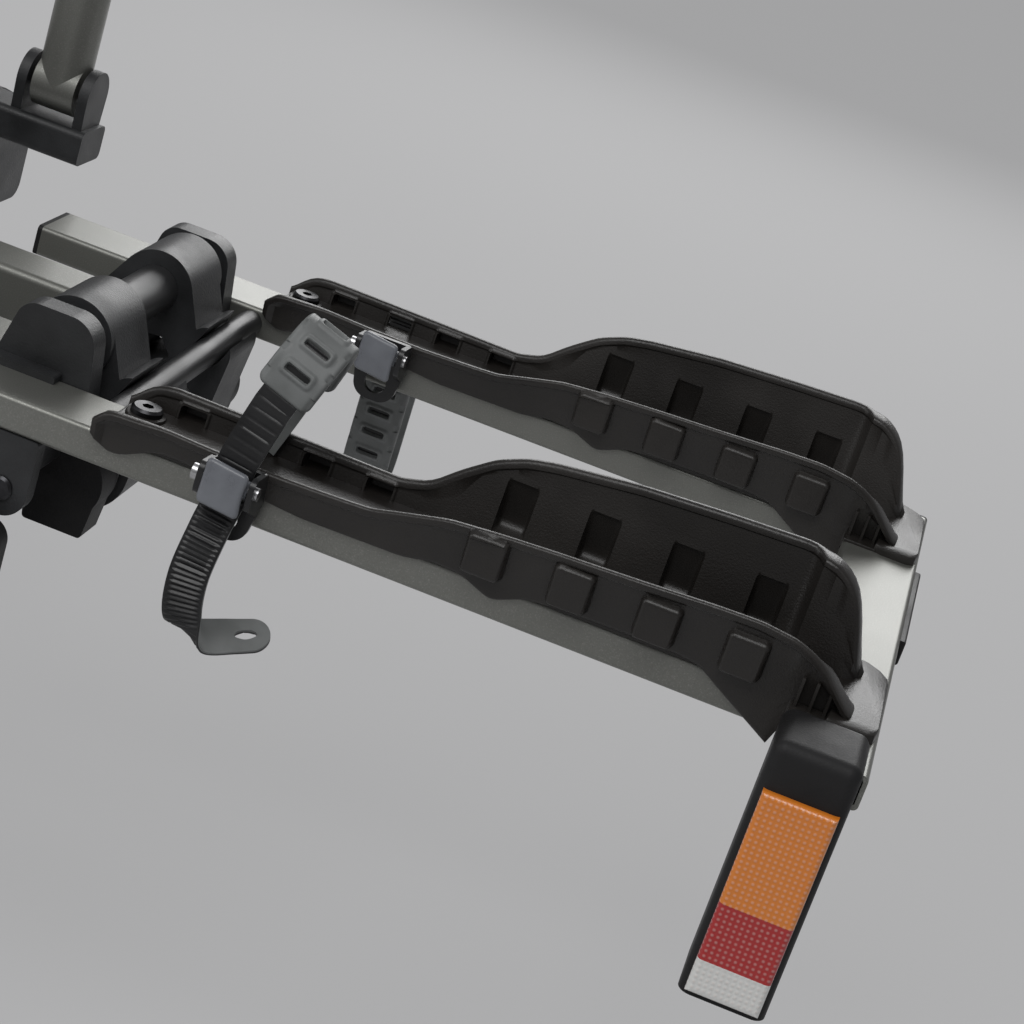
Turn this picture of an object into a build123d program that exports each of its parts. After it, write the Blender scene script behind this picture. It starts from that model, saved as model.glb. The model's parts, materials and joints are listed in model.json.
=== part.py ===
# Tow bar bike carrier for two bikes: two folding wheel frames on a tilting platform that
# clamps to a 50 mm tow ball, with a folding mast and two bike arms.
# Millimetres. Origin: centre of the tow ball. +X to the right seen from behind the car,
# +Y forwards to the car, +Z up. The left side mirrors the right.
import os
from math import atan2, cos, degrees, radians, sin

from build123d import *

os.makedirs("parts", exist_ok=True)

# Layout. The wheel frame is drawn in its own place: x outboard from the middle of the tray,
# y forwards from the rear rail's centre line, z up from the rails' top face.
frame_x = 440.0
rear_rail_y = -435.0
rail_top_z = 50.0
rail_spacing = 235.0

# Fits
run_gap = 0.05
part_gap = 0.3
side_gap = 1.0

# Wheel frame tubes
tube_w = 40.0
tube_h = 16.5
tube_wall = 2.0
tube_edge = 2.5
frame_end_x = 213.0
stub_x = -285.0
cross_rear_y = -66.0
cross_front_y = 283.0

# Fold axis and the tubes between the rails
hinge_x = -196.0
hinge_z = 13.0
hinge_r = 12.0
hinge_wall = 2.5
hinge_mouth = 1.5
rest_x = -161.0
rest_z = -9.0
rest_r = 7.0

# Rail sockets that hold the hinge tube
socket_t = 14.0
socket_r = 18.0
socket_in = 26.0
socket_out = 24.0
lip_in = 9.0
lip_t = 3.5
lug_x = -190.0
lug_z = -43.0
lug_r = 13.0
lug_t = 9.0
lug_back = 12.0
lug_pin_r = 6.0
lug_pin_head = 2.0

# Platform castings between the rails
arm_face = 46.0
arm_t = 40.0
arm_ring_r = 20.0
arm_collar = 4.0
cradle_r = 12.5
cradle_gap = 0.6
foot_x = -176.0
foot_z = -46.0
foot_r = 18.0
foot_wall = 2.0
foot_ring_r = 22.5
foot_tube_face = 26.0
foot_cap_t = 5.0
foot_cap_r = 19.5
foot_drop = 26.0
foot_w = 30.0
arm_root_x = -231.0
beam_w = 36.0
beam_h = 40.0
beam_drop = 5.0
beam_wall = 2.5
beam_corner = 4.0

# Wheel trays
tray_in_x = -155.0
tray_out_x = 199.0
tray_floor = 3.0
tray_wall = 2.6
tray_flare = 0.22
near_top = 34.0
far_top = 54.0
tray_deep = 30.0
lip_bead = 4.0
lip_bead_t = 1.0
low_lip_z = 14.5
block_x = 19.75
block_pitch = 39.4
block_w = 19.3
block_z0 = 4.0
block_near_top = 24.3
block_far_top = 33.0
block_out = 8.6
block_count = 4
block_wall = 2.0
slot_x = [-124.0, -91.0, -63.0, -32.0]
slot_w = 13.0
slot_z0 = 3.0
slot_z1 = 10.0
screw_x = -142.0
screw_y = 9.0
screw_r = 4.0
screw_head_r = 7.5
screw_head_t = 3.4
boss_r = 9.5
boss_t = 1.6
cap_out_x = 211.0
cap_in_x = 190.0
cap_far_y = 46.0
cap_near_y = -35.0
cap_t = 4.5
rib_x = [174.0, 183.0, 192.0]
rib_t = 1.4
rib_out = 5.0

# Buckles
buckle_x = -84.5
buckle_w = 21.2
cheek_t = 2.6
cheek_gap = 0.4
buckle_back_t = 3.0
buckle_off = 4.0
buckle_foot_r = 14.5
buckle_hole_r = 6.0
buckle_hole_z = -12.0
axle_out = 18.1
axle_z = 8.0
axle_r = 2.2
lever_t = 3.2
lever_l = 23.0
lever_lean = 8.0
lever_boss_r = 4.2

# Straps and rim pads: one strap closed in a loop, the other hanging open from its slot
strap_w = 18.0
strap_t = 2.0
tail_steps = 4
tongue_w = 11.0
head_y = 27.0
slot_mid = 6.5
loop_lean = 19.0
loop_points = [(19.5, 0.0), (20.5, 20.0), (12.0, 63.0), (-4.0, 76.0), (-19.0, 58.0), (-25.0, 38.0)]
loop_radii = [40, 16, 12, 16]
pad_points = [(16.1, 42.3), (12.0, 63.0), (-4.0, 76.0), (-19.0, 58.0), (-23.5, 43.0)]
pad_radii = [16, 12, 16]
spare_points = [(28.0, 0.0), (39.0, 0.0), (45.0, -120.0), (89.0, -118.0), (84.0, -22.0)]
spare_radii = [9, 22, 20]
spare_pad_points = [(40.0, -20.0), (43.85, -97.0)]
pad_w = 27.0
pad_t = 2.6
pad_slot = 3.4
pad_slot_l = 13.0
pad_slot_pitch = 12.5
pad_slots = 5

# Lamps
lamp_x0 = 171.0
lamp_x1 = 210.0
lamp_y0 = -78.0
lamp_y1 = -36.0
lamp_top = 6.0
lamp_low = -118.0
lamp_wall = 2.5
lamp_round = 6.0
lens_inset = 3.0
lens_t = 8.0
lens_top = -16.0
strip_y0 = 100.0
strip_y1 = 200.0
strip_t = 3.0
plug_t = 2.5
plug_in = 12.0

# Platform
spine_x = 35.0
spine_t = 8.0
spine_low = -22.0
spine_high = 48.0
spine_rear_y = -462.0
cover_x = 85.0
cover_rear_y = -410.0
cover_front_y = -200.0
cover_top = 76.0
cover_wall = 3.0
tilt_y = -118.0
tilt_z = -8.0
tilt_r = 7.0
tilt_nose_r = 18.0
mast_base_y = -120.0
mast_base_x = 135.0
mast_base_w = 34.0
mast_base_z0 = 62.0
mast_base_z1 = 82.0
mast_base_notch = 12.0

# Tilt latch: pedal, rod and hook
rod_z = 58.0
rod_h = 12.0
rod_t = 5.0
crank_pin_r = 3.0
crank_gap = 0.4
pedal_y = -430.0
pedal_z = 28.0
pedal_pin_r = 4.0
pedal_pad_y0 = -532.0
pedal_pad_y1 = -486.0
pedal_pad_w = 74.0
pedal_pad_t = 7.0
hook_y = -184.0
hook_z = 36.0
hook_t = 12.0
hook_side = 3.0
hook_lift = 10.0
hook_travel = 8.1
catch_y = -131.0
catch_z = 40.0
catch_r = 4.0

# Ball coupling
ball_r = 25.0
ball_clear = 0.1
housing_x = 36.0
housing_rear_x = 30.0
housing_low = -26.0
housing_top = 58.0
housing_front = 46.0
housing_rear = -140.0
housing_joint = -96.0
jaw_slot_x = 16.0
jaw_y = -46.0
jaw_z = -14.0
jaw_pin_r = 5.0
lever_pin_y = -62.0
lever_pin_z = 73.0
lever_hub_r = 14.0
lever_ear_t = 10.0
lever_arm_x = 13.0
lever_end_y = -262.0
lever_arm_z = 92.0
lever_arm_t = 12.0
grip_x = 24.0
grip_t = 22.0
grip_l = 92.0
lock_y = -108.0
lock_r = 7.5

# Mast and bike arms
mast_x = 110.0
mast_r = 15.0
mast_wall = 2.0
mast_foot_z = 100.0
mast_top_z = 640.0
mast_bend = 55.0
mast_pin_r = 5.0
mast_ear_t = 6.0
mast_ear_r = 15.0
bike_arm_r = 11.0
clamp_r = 22.0
clamp_w = 34.0
claw_r = 20.0
claw_t = 7.0
claw_w = 30.0
claw_pin_r = 3.0
claw_eye_r = 7.0
claw_flange_t = 7.0
claw_flange_end = 9.0
claw_sink = 2.0
claw_parting = 0.5
knob_out = 45.0
knob_r = 16.0
knob_t = 20.0
stud_r = 4.0
stud_end = 7.0

# Number plate board
board_x = 262.0
board_top = -4.0
board_low = -128.0
board_y = -470.0
board_t = 8.0
board_rim = 6.0
plate_hole_x = 200.0
plate_hole_r = 3.0

# Places worked out from the sizes above
wall_y = tube_w / 2 + part_gap + tray_wall
axle_y = -(wall_y + axle_out)
claw_z = mast_top_z + bike_arm_r + claw_r + claw_t - claw_sink
claw_pin_y = claw_r + claw_t + 3.0
claw_pin_z = 7.0


# Simple shapes
def box(x0, x1, y0, y1, z0, z1):
    return Pos((x0 + x1) / 2, (y0 + y1) / 2, (z0 + z1) / 2) * Box(x1 - x0, y1 - y0, z1 - z0)


def rod_x(y, z, radius, x0, x1):
    return Pos((x0 + x1) / 2, y, z) * Rot(0, 90, 0) * Cylinder(radius, x1 - x0)


def rod_y(x, z, radius, y0, y1):
    return Pos(x, (y0 + y1) / 2, z) * Rot(90, 0, 0) * Cylinder(radius, y1 - y0)


def rod_z_axis(x, y, radius, z0, z1):
    return Pos(x, y, (z0 + z1) / 2) * Cylinder(radius, z1 - z0)


def outline(*corners):
    # A closed outline from corners (a, b, radius)
    points = [(a, b) for a, b, radius in corners]
    return make_face(FilletPolyline(*points, radius=[c[2] for c in corners], close=True))


def side_view(shape, y0, y1):
    # An outline in x and z, carried from y0 to y1
    plane = Plane(origin=(0, y1, 0), x_dir=(1, 0, 0), z_dir=(0, -1, 0))
    return extrude(plane * shape, y1 - y0, dir=(0, -1, 0))


def end_view(shape, x0, x1):
    # An outline in y and z, carried from x0 to x1
    plane = Plane(origin=(x0, 0, 0), x_dir=(0, 1, 0), z_dir=(1, 0, 0))
    return extrude(plane * shape, x1 - x0, dir=(1, 0, 0))


def plan_view(shape, z0, z1):
    return extrude(Plane.XY.offset(z0) * shape, z1 - z0, dir=(0, 0, 1))


def both_rails(part):
    # A piece at the rear rail and its mirror at the front rail
    return [part, mirror(part, about=Plane.XZ.offset(-rail_spacing / 2))]


# Wheel frame: two rails and an end tube, welded
def flat_tube(length):
    section = RectangleRounded(tube_w, tube_h, tube_edge)
    bore = RectangleRounded(tube_w - 2 * tube_wall, tube_h - 2 * tube_wall, tube_edge / 2)
    return extrude(section - bore, length)


def rail(y):
    lay = Plane(origin=(stub_x, y, -tube_h / 2), x_dir=(0, 1, 0), z_dir=(1, 0, 0))
    tube = lay * flat_tube(frame_end_x - tube_w - stub_x)
    return tube - rod_z_axis(screw_x, y + screw_y, screw_r, -tube_h, 1)


def wheel_frame():
    lay = Plane(origin=(frame_end_x - tube_w / 2, cross_rear_y, -tube_h / 2), x_dir=(1, 0, 0),
                z_dir=(0, 1, 0))
    end_tube = lay * flat_tube(cross_front_y - cross_rear_y)
    return end_tube + rail(0) + rail(rail_spacing)


def hinge_tube():
    y0 = tube_w / 2 + hinge_mouth
    y1 = rail_spacing - y0
    return rod_y(hinge_x, hinge_z, hinge_r, y0, y1) - rod_y(hinge_x, hinge_z, hinge_r - hinge_wall, y0, y1)


def rest_bar():
    return rod_y(rest_x, rest_z, rest_r, tube_w / 2, rail_spacing - tube_w / 2)


def hinge_socket():
    # Casting on the rail's inner side: holds the hinge tube, grips the rail's edge, ends in a lug
    y0 = tube_w / 2
    plate = side_view(outline((hinge_x - socket_in, -tube_h, 5), (hinge_x - socket_in, lip_t, 3),
                              (hinge_x - socket_r, hinge_z + socket_r, 10),
                              (hinge_x + socket_r, hinge_z + socket_r, 14),
                              (hinge_x + socket_out, -tube_h, 5)), y0, y0 + socket_t)
    lip = side_view(outline((hinge_x - socket_in, 0, 0), (hinge_x - socket_in, lip_t, 1.5),
                            (hinge_x + socket_in * 0.3, lip_t, 1.5), (hinge_x + socket_in * 0.3, 0, 0)),
                            y0 - lip_in, y0)
    lug = side_view(outline((lug_x - lug_r, lug_z - lug_r, lug_r - 1), (lug_x - lug_r, -tube_h, 2),
                            (lug_x + lug_r, -tube_h, 2), (lug_x + lug_r, lug_z - lug_r, lug_r - 1)),
                    -tube_w / 2, -tube_w / 2 + lug_t)
    web = side_view(outline((lug_x - lug_r + 3, lug_z, 3), (lug_x - lug_r + 3, -tube_h, 0),
                            (lug_x + lug_r - 3, -tube_h, 0), (lug_x + lug_r - 3, lug_z + 6, 3)),
                    -tube_w / 2 + lug_t, y0)
    foot = box(hinge_x - socket_in + 8, hinge_x + socket_out - 8, -tube_w / 2 + lug_t, y0 + socket_t,
               -tube_h - 3, -tube_h)
    body = plate + lip + lug + web + foot
    body -= rod_y(hinge_x, hinge_z, hinge_r, y0 + hinge_mouth, y0 + socket_t + 1)
    body -= rod_y(lug_x, lug_z, lug_pin_r, -tube_w, -tube_w / 2 + lug_t + lug_back)
    return body


def hinge_sockets():
    return Part() + both_rails(hinge_socket())


def frame_screws():
    pieces = []
    top = tray_floor + boss_t
    for y in (0, rail_spacing):
        head = rod_z_axis(screw_x, y + screw_y, screw_head_r, top, top + screw_head_t)
        head = chamfer(head.edges().group_by(Axis.Z)[-1], 1.2)
        head -= Pos(screw_x, y + screw_y, top + screw_head_t) * extrude(RegularPolygon(2.9, 6), -2)
        pieces.append(head + rod_z_axis(screw_x, y + screw_y, screw_r, -tube_h + tube_wall, top))
    pin = rod_y(lug_x, lug_z, lug_pin_r, -tube_w / 2 - lug_pin_head, -tube_w / 2 + lug_t + lug_back)
    pin = chamfer(pin.edges().group_by(Axis.Y)[0], 1.2)
    return Part() + pieces + both_rails(pin)


# Wheel tray
def near_side():
    # The low wall, seen from the rear
    return outline((tray_in_x, low_lip_z, 7), (-24, low_lip_z, 14), (2, near_top - 11, 24),
                   (50, near_top - 6, 90),
                   (157, near_top, 22), (186, near_top - 10, 30), (tray_out_x, 2, 3), (tray_out_x, -27, 2),
                   (174, -27, 6), (146, -2, 10), (47, -1, 8), (38, -8.5, 7), (20, -1, 10), (-104, -1, 8),
                   (-122, -2, 8), (-141, -9, 7), (tray_in_x, -5, 5))


def far_side():
    # The tall wall at the front
    return outline((tray_in_x, low_lip_z, 6), (-18, 13.5, 14), (17, far_top - 13, 30),
                   (75, far_top - 5, 120), (168, far_top, 18), (189, far_top - 12, 14),
                   (tray_out_x - 2, -6, 2), (tray_in_x, -6, 2))


def wall_slab(inner, outer):
    # A flared wall on the near side, between two offsets from the wall's own face
    top = far_top + lip_bead
    lean = tray_flare * top
    return end_view(make_face(Polyline(
        (-wall_y - outer, -tray_deep), (-wall_y - outer, 0), (-wall_y - outer - lean, top),
        (-wall_y + inner - lean, top), (-wall_y + inner, 0), (-wall_y + inner, -tray_deep),
        close=True)), tray_in_x - 1, tray_out_x + 1)


def tray_wall_piece(shape):
    # Wall with a thick lip along its top and its inner end
    wall = wall_slab(tray_wall, 0) & side_view(shape, -60, 0)
    inner_part = (Pos(lip_bead, -lip_bead) * shape) & (Pos(-lip_bead, -lip_bead) * shape)
    low = Pos(0, -tray_deep - lip_bead * 1.6) * Rectangle(3 * tray_out_x, 2 * tray_deep)
    band = shape - inner_part - low
    lip = wall_slab(tray_wall + lip_bead_t, lip_bead_t) & side_view(band, -60, 0)
    return wall + lip


def wall_blocks(top):
    # Square bosses that stand out of a wall, hollow on the inside
    blocks, pockets = [], []
    for i in range(block_count):
        x = block_x + i * block_pitch
        block = box(x, x + block_w, -wall_y - block_out, -wall_y + tray_wall / 2, block_z0, top)
        outer = block.faces().sort_by(Axis.Y)[0]
        blocks.append(fillet(outer.edges(), 2.4))
        pockets.append(box(x + block_wall, x + block_w - block_wall, -wall_y - block_out + block_wall,
                           -wall_y + tray_wall * 2, block_z0 + block_wall, top - block_wall))
    return blocks, pockets


def wheel_tray():
    floor_y = wall_y - tray_wall / 2
    floor = box(tray_in_x + 2, tray_out_x, -floor_y, floor_y, 0, tray_floor)
    near = tray_wall_piece(near_side())
    far = tray_wall_piece(far_side())
    near_blocks, near_pockets = wall_blocks(block_near_top)
    far_blocks, far_pockets = wall_blocks(block_far_top)
    near = near + near_blocks - near_pockets
    far = mirror(far + far_blocks - far_pockets, about=Plane.XZ)
    corner = plan_view(outline((cap_in_x, cap_near_y, 3), (cap_out_x, cap_near_y, 4), (cap_out_x, 28, 10),
                               (cap_out_x - 8, cap_far_y, 6), (cap_in_x, cap_far_y, 4)), 0, cap_t)
    corner = fillet(corner.edges().group_by(Axis.Z)[-1], 1.8)
    ribs = [box(x, x + rib_t, -wall_y - rib_out, -wall_y + 1, -8, 14) for x in rib_x]
    boss = rod_z_axis(screw_x, screw_y, boss_r, tray_floor, tray_floor + boss_t)
    tray = floor + near + far + corner + ribs + boss
    tray -= rod_z_axis(screw_x, screw_y, screw_r, -1, 20)
    tray -= box(frame_end_x - tube_w - part_gap, frame_end_x + 1, -tube_w * 2, tube_w * 2, -tube_w, 0)
    tray -= box(tray_in_x - 1, tray_out_x, -tube_w / 2 - part_gap, tube_w / 2 + part_gap, -tube_w, 0)
    for x in slot_x:
        tray -= box(x - slot_w / 2, x + slot_w / 2, floor_y - 4, floor_y + 12, slot_z0, slot_z1)
    return tray


# Buckle: base, lever and axle
def buckle_base():
    half = buckle_w / 2
    back_y = -wall_y - buckle_off
    back = box(buckle_x - half - cheek_t, buckle_x + half + cheek_t, back_y - buckle_back_t, -wall_y,
               -4, 10)
    plate = side_view(outline((buckle_x - half - cheek_t, 13, 2), (buckle_x + half + cheek_t, 13, 2),
                              (buckle_x + half + cheek_t, -6, 2), (buckle_x + buckle_foot_r * 0.7, -22, 9),
                              (buckle_x - buckle_foot_r * 0.7, -22, 9), (buckle_x - half - cheek_t, -6, 2)),
                      back_y - buckle_back_t, back_y)
    plate -= rod_y(buckle_x, buckle_hole_z, buckle_hole_r, back_y - buckle_back_t - 1, back_y + 1)
    cheek = end_view(outline((back_y - 1, 13, 2), (axle_y - 4.5, 15, 4), (axle_y - 5, 1, 4),
                             (back_y - 1, -8, 2)), 0, cheek_t)
    cheeks = [Pos(buckle_x - half - cheek_t, 0, 0) * cheek, Pos(buckle_x + half, 0, 0) * cheek]
    base = plate + back + cheeks - wall_slab(tray_wall, 0)
    return base - rod_x(axle_y, axle_z, axle_r, buckle_x - 20, buckle_x + 20)


def buckle_lever():
    half = buckle_w / 2 - cheek_gap
    plate = end_view(outline((-lever_t, lever_l * 0.42, 1.2), (0, lever_l * 0.42, 1.2),
                             (0, -lever_l * 0.58, 1.2),
                             (-lever_t, -lever_l * 0.58, 1.2)), -half, half)
    plate = Pos(buckle_x, axle_y - 3.6, axle_z) * Rot(-lever_lean, 0, 0) * plate
    hub = rod_x(axle_y, axle_z, lever_boss_r, buckle_x - half, buckle_x + half)
    return plate + hub - rod_x(axle_y, axle_z, axle_r + run_gap, buckle_x - 20, buckle_x + 20)


def buckle_pin():
    # Axle with a round end on the inner side and a rivet on the outer side
    half = buckle_w / 2 + cheek_t
    axle = rod_x(axle_y, axle_z, axle_r, buckle_x - half, buckle_x + half)
    knob = rod_x(axle_y, axle_z, 3.6, buckle_x - half - 3, buckle_x - half)
    rivet = rod_x(axle_y, axle_z, 3.0, buckle_x + half, buckle_x + half + 1.4)
    return axle + knob + rivet


# Straps and rim pads
def loop_plane():
    # The strap's loop stands on the far slot and leans outboard
    lean = radians(loop_lean)
    return Plane(origin=(slot_x[1], 0, slot_mid), x_dir=(0, 1, 0), z_dir=(cos(lean), 0, -sin(lean)))


def strip_path(points, radii):
    return FilletPolyline(*points, radius=radii) if radii else Polyline(*points)


def ribbon(plane, points, radii, width, thick):
    # A strip of constant thickness along a path in a plane, centred on the plane
    path = strip_path(points, radii)
    run = path % 0
    section = Plane(origin=path @ 0, x_dir=(0, 0, 1), z_dir=run) * Rectangle(width, thick)
    return plane * sweep(section, path)


def tail_sections():
    # From the end of the loop down through the buckle to the loose end: place, width direction, run direction
    plane = loop_plane()
    start = plane.from_local_coords(Vector(*loop_points[-1], 0))
    ahead = plane.from_local_coords(Vector(*loop_points[-1], 0) + Vector(-7.0, -25.0, 0)) - start
    axle = Vector(buckle_x, axle_y, axle_z)
    below = [((0.0, 7.2, 8.0), (1.0, 0.0, -0.02), (0.0, -0.16, -1.0)),
             ((0.0, 6.8, -4.0), (1.0, 0.0, 0.0), (-0.03, -0.04, -1.0)),
             ((-2.5, 0.0, -24.0), (1.0, 0.0, -0.06), (-0.08, -0.30, -1.0)),
             ((-4.0, -6.0, -46.0), (1.0, 0.02, -0.10), (0.0, -0.10, -1.0)),
             ((-1.5, -5.0, -66.0), (1.0, 0.0, -0.22), (0.25, 0.30, -0.85)),
             ((5.5, 2.5, -74.0), (0.85, -0.35, -0.40), (0.75, 0.60, -0.15)),
             ((18.5, 11.0, -72.5), (0.55, -0.72, -0.42), (0.85, 0.50, 0.20)),
             ((33.5, 17.0, -68.0), (0.50, -0.80, -0.33), (0.92, 0.38, 0.10))]
    placed = [(axle + Vector(*offset), across, along) for offset, across, along in below]
    return [(start, plane.z_dir, ahead)] + placed


def between(values, i, t):
    # A smooth step from value i to the next one
    before, here, after = values[max(i - 1, 0)], values[i], values[i + 1]
    beyond = values[min(i + 2, len(values) - 1)]
    rise = here * 3 / 2 - before / 2 - after * 3 / 2 + beyond / 2
    straight = (after - before) / 2
    return here + straight * t + (before - here * 5 / 2 + after * 2 - beyond / 2) * t ** 2 + rise * t ** 3


def strip_through(sections, width, thick):
    # A strip that bends and twists through its sections
    columns = [[Vector(section[k]) for section in sections] for k in range(3)]
    steps = [(i, j / tail_steps) for i in range(len(sections) - 1) for j in range(tail_steps)]
    faces = []
    for i, t in steps + [(len(sections) - 2, 1.0)]:
        place, across, along = [between(column, i, t) for column in columns]
        run = along.normalized()
        side = (across - run * across.dot(run)).normalized()
        faces.append(Plane(origin=place, x_dir=side, z_dir=run) * Rectangle(width, thick))
    return loft(faces, ruled=True)


def strap_root():
    # Narrow tongue through the slot of the tall wall, with a wide head outside
    inside = box(slot_x[1] - tongue_w / 2, slot_x[1] + tongue_w / 2, loop_points[0][0] - strap_t / 2,
                 head_y,
                 slot_mid - strap_t / 2, slot_mid + strap_t / 2)
    head = box(slot_x[1] - strap_w / 2, slot_x[1] + strap_w / 2, head_y, head_y + strap_t, slot_z0 - 2,
               slot_z1 + 2)
    return inside + head


def used_strap():
    loop = ribbon(loop_plane(), loop_points, loop_radii, strap_w, strap_t)
    return loop + strip_through(tail_sections(), strap_w, strap_t) + strap_root()


def hang_plane():
    return Plane(origin=(slot_x[1], 0, slot_mid), x_dir=(0, 1, 0), z_dir=(1, 0, 0))


def spare_strap():
    # The other tray's strap hangs open outside the tall wall
    return ribbon(hang_plane(), spare_points, spare_radii, strap_w, strap_t) + strap_root()


def rim_pad(plane, points, radii):
    # A moulded sleeve on the strap, with a row of slots across it
    sleeve = ribbon(plane, points, radii, pad_w, strap_t + 2 * pad_t)
    sleeve -= ribbon(plane, points, radii, strap_w + 2 * part_gap, strap_t + 2 * part_gap)
    path = strip_path(points, radii)
    for i in range(pad_slots):
        along = 0.5 + (i - (pad_slots - 1) / 2) * pad_slot_pitch / path.length
        frame = Plane(origin=path @ along, x_dir=path % along, z_dir=(0, 0, 1))
        sleeve -= plane * frame * Box(pad_slot, 2 * strap_t + 3 * pad_t, pad_slot_l)
    return sleeve


# Lamps and end strip
def lamp_housing():
    body = box(lamp_x0, lamp_x1, lamp_y0, lamp_y1, lamp_low, lamp_top)
    body = fillet(body.edges().filter_by(Axis.Z) + body.edges().group_by(Axis.Z)[-1], lamp_round)
    mouth = box(lamp_x0 + lens_inset, lamp_x1 - lens_inset, lamp_y0 - 1, lamp_y0 + lens_t / 2,
                lamp_low + lens_inset, lens_top)
    room = box(lamp_x0 + lamp_wall + lens_inset, lamp_x1 - lamp_wall - lens_inset, lamp_y0,
               lamp_y1 - lamp_wall,
               lamp_low + lamp_wall + lens_inset, -tube_h - lamp_wall)
    tube = box(frame_end_x - tube_w, frame_end_x, cross_rear_y, lamp_y1 + 1, -tube_h, 0)
    return body - mouth - room - tube


def lamp_lens():
    lens = box(lamp_x0 + lens_inset, lamp_x1 - lens_inset, lamp_y0 - lens_t / 2, lamp_y0 + lens_t / 2,
               lamp_low + lens_inset, lens_top)
    return fillet(lens.faces().sort_by(Axis.Y)[0].edges(), 2.5)


def end_plug():
    # Plug for an open tube end, drawn with the tube running away along +z
    head = extrude(RectangleRounded(tube_w, tube_h, tube_edge), -plug_t)
    return head + extrude(RectangleRounded(tube_w - 2 * tube_wall, tube_h - 2 * tube_wall,
                                           tube_edge / 2), plug_in)


def frame_trims():
    strip = box(frame_end_x, frame_end_x + strip_t, strip_y0, strip_y1, -tube_h + 2, -2)
    strip = fillet(strip.faces().sort_by(Axis.X)[-1].edges(), 1.2)
    pieces = [strip]
    for y in (0, rail_spacing):
        pieces.append(Plane(origin=(stub_x, y, -tube_h / 2), x_dir=(0, 1, 0), z_dir=(1, 0, 0)) * end_plug())
    corner = Plane(origin=(frame_end_x - tube_w / 2, cross_front_y, -tube_h / 2), x_dir=(1, 0, 0),
                   z_dir=(0, -1, 0))
    return Part() + pieces + corner * end_plug()


# Platform
def circle_at(a, b, radius):
    return Pos(a, b) * Circle(radius)


def hull(*shapes):
    edges = []
    for shape in shapes:
        edges += shape.edges()
    return make_hull(edges)


def hinge_arm():
    # Casting at the end of a beam: ring for the hinge tube, hook for the rest bar, ring for the foot tube
    beam_z = -beam_drop - beam_h / 2
    root = Pos(arm_root_x + 4, beam_z) * Rectangle(8, beam_h)
    ring = circle_at(hinge_x, hinge_z, arm_ring_r)
    low = circle_at(foot_x, foot_z, foot_ring_r)
    hook = circle_at(rest_x, rest_z, cradle_r)
    shape = hull(root, ring) + hull(root, low) + hull(low, hook) + hull(ring, low)
    reach = ((rest_x - hinge_x) ** 2 + (rest_z - hinge_z) ** 2) ** 0.5
    start = degrees(atan2(rest_z - hinge_z, rest_x - hinge_x))
    inner, outer = reach - rest_r - cradle_gap, reach + rest_r + cradle_gap
    gap = circle_at(hinge_x, hinge_z, outer) - circle_at(hinge_x, hinge_z, inner)
    fan = make_face(Polyline((0, 0), (120, 0), (120 * cos(radians(60)), 120 * sin(radians(60))),
                             close=True))
    shape -= gap & (Pos(hinge_x, hinge_z) * Rot(0, 0, start) * fan)
    shape -= circle_at(rest_x, rest_z, rest_r + cradle_gap)
    shape -= outline((-205, -12, 3), (-186, -10, 3), (-178, -21, 3), (-199, -26, 3))
    shape -= outline((-226, -14, 3), (-213, -10, 3), (-206, -30, 4), (-226, -38, 4))
    body = side_view(shape, arm_face, arm_face + arm_t)
    body += side_view(ring, arm_face - arm_collar, arm_face)
    body -= rod_y(hinge_x, hinge_z, hinge_r + run_gap, arm_face - arm_collar - 1, arm_face + arm_t + 1)
    return body - rod_y(foot_x, foot_z, foot_r, arm_face - 1, arm_face + arm_t + 1)


def foot_tube():
    y1 = rail_spacing - foot_tube_face
    tube = rod_y(foot_x, foot_z, foot_r, foot_tube_face, y1)
    return tube - rod_y(foot_x, foot_z, foot_r - foot_wall, foot_tube_face, y1)


def foot_cap():
    low = foot_z - foot_drop
    foot = outline((foot_x - foot_w / 2, low, 2), (foot_x + foot_w / 2, low, 2),
                   (foot_x + foot_cap_r - 1, foot_z, 2),
                   (foot_x - foot_cap_r + 1, foot_z, 2))
    y0 = foot_tube_face - foot_cap_t
    cap = side_view(foot + circle_at(foot_x, foot_z, foot_cap_r), y0, foot_tube_face + 14)
    return cap - rod_y(foot_x, foot_z, foot_r, foot_tube_face, foot_tube_face + 20)


def beam(local_y):
    half = frame_x + arm_root_x
    z1 = rail_top_z - beam_drop
    section = RectangleRounded(beam_w, beam_h, beam_corner)
    bore = RectangleRounded(beam_w - 2 * beam_wall, beam_h - 2 * beam_wall, beam_corner / 2)
    lay = Plane(origin=(-half, rear_rail_y + local_y, z1 - beam_h / 2), x_dir=(0, 1, 0), z_dir=(1, 0, 0))
    return lay * extrude(section - bore, 2 * half)


def beam_y(front):
    middle = arm_face + arm_t / 2
    return rail_spacing - middle if front else middle


def spine():
    # Two side plates that straddle the coupling, with the cross pins of the latch
    nose = tilt_nose_r
    shape = outline((spine_rear_y, spine_low, 8), (spine_rear_y, spine_high, 4),
                    (mast_base_y - 34, spine_high, 10),
                    (mast_base_y - mast_base_w / 2, mast_base_z0, 5),
                    (mast_base_y + mast_base_w / 2, mast_base_z0, 5),
                    (tilt_y + nose, tilt_z - nose, nose - 1), (tilt_y - nose - 12, spine_low, 8))
    plate = end_view(shape, spine_x - spine_t / 2, spine_x + spine_t / 2)
    plate -= rod_x(tilt_y, tilt_z, tilt_r + run_gap, 0, 60)
    for front in (False, True):
        y = rear_rail_y + beam_y(front)
        plate -= box(0, 60, y - beam_w / 2, y + beam_w / 2, rail_top_z - beam_drop - beam_h, spine_high + 1)
    floor = box(-spine_x, spine_x, spine_rear_y + 20, tilt_y - 50, spine_low, spine_low + 4)
    pins = [rod_x(pedal_y, pedal_z, pedal_pin_r, -spine_x, spine_x),
            rod_x(hook_y, hook_z, pedal_pin_r, -spine_x, spine_x)]
    return plate + mirror(plate, about=Plane.YZ) + floor + pins


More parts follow.
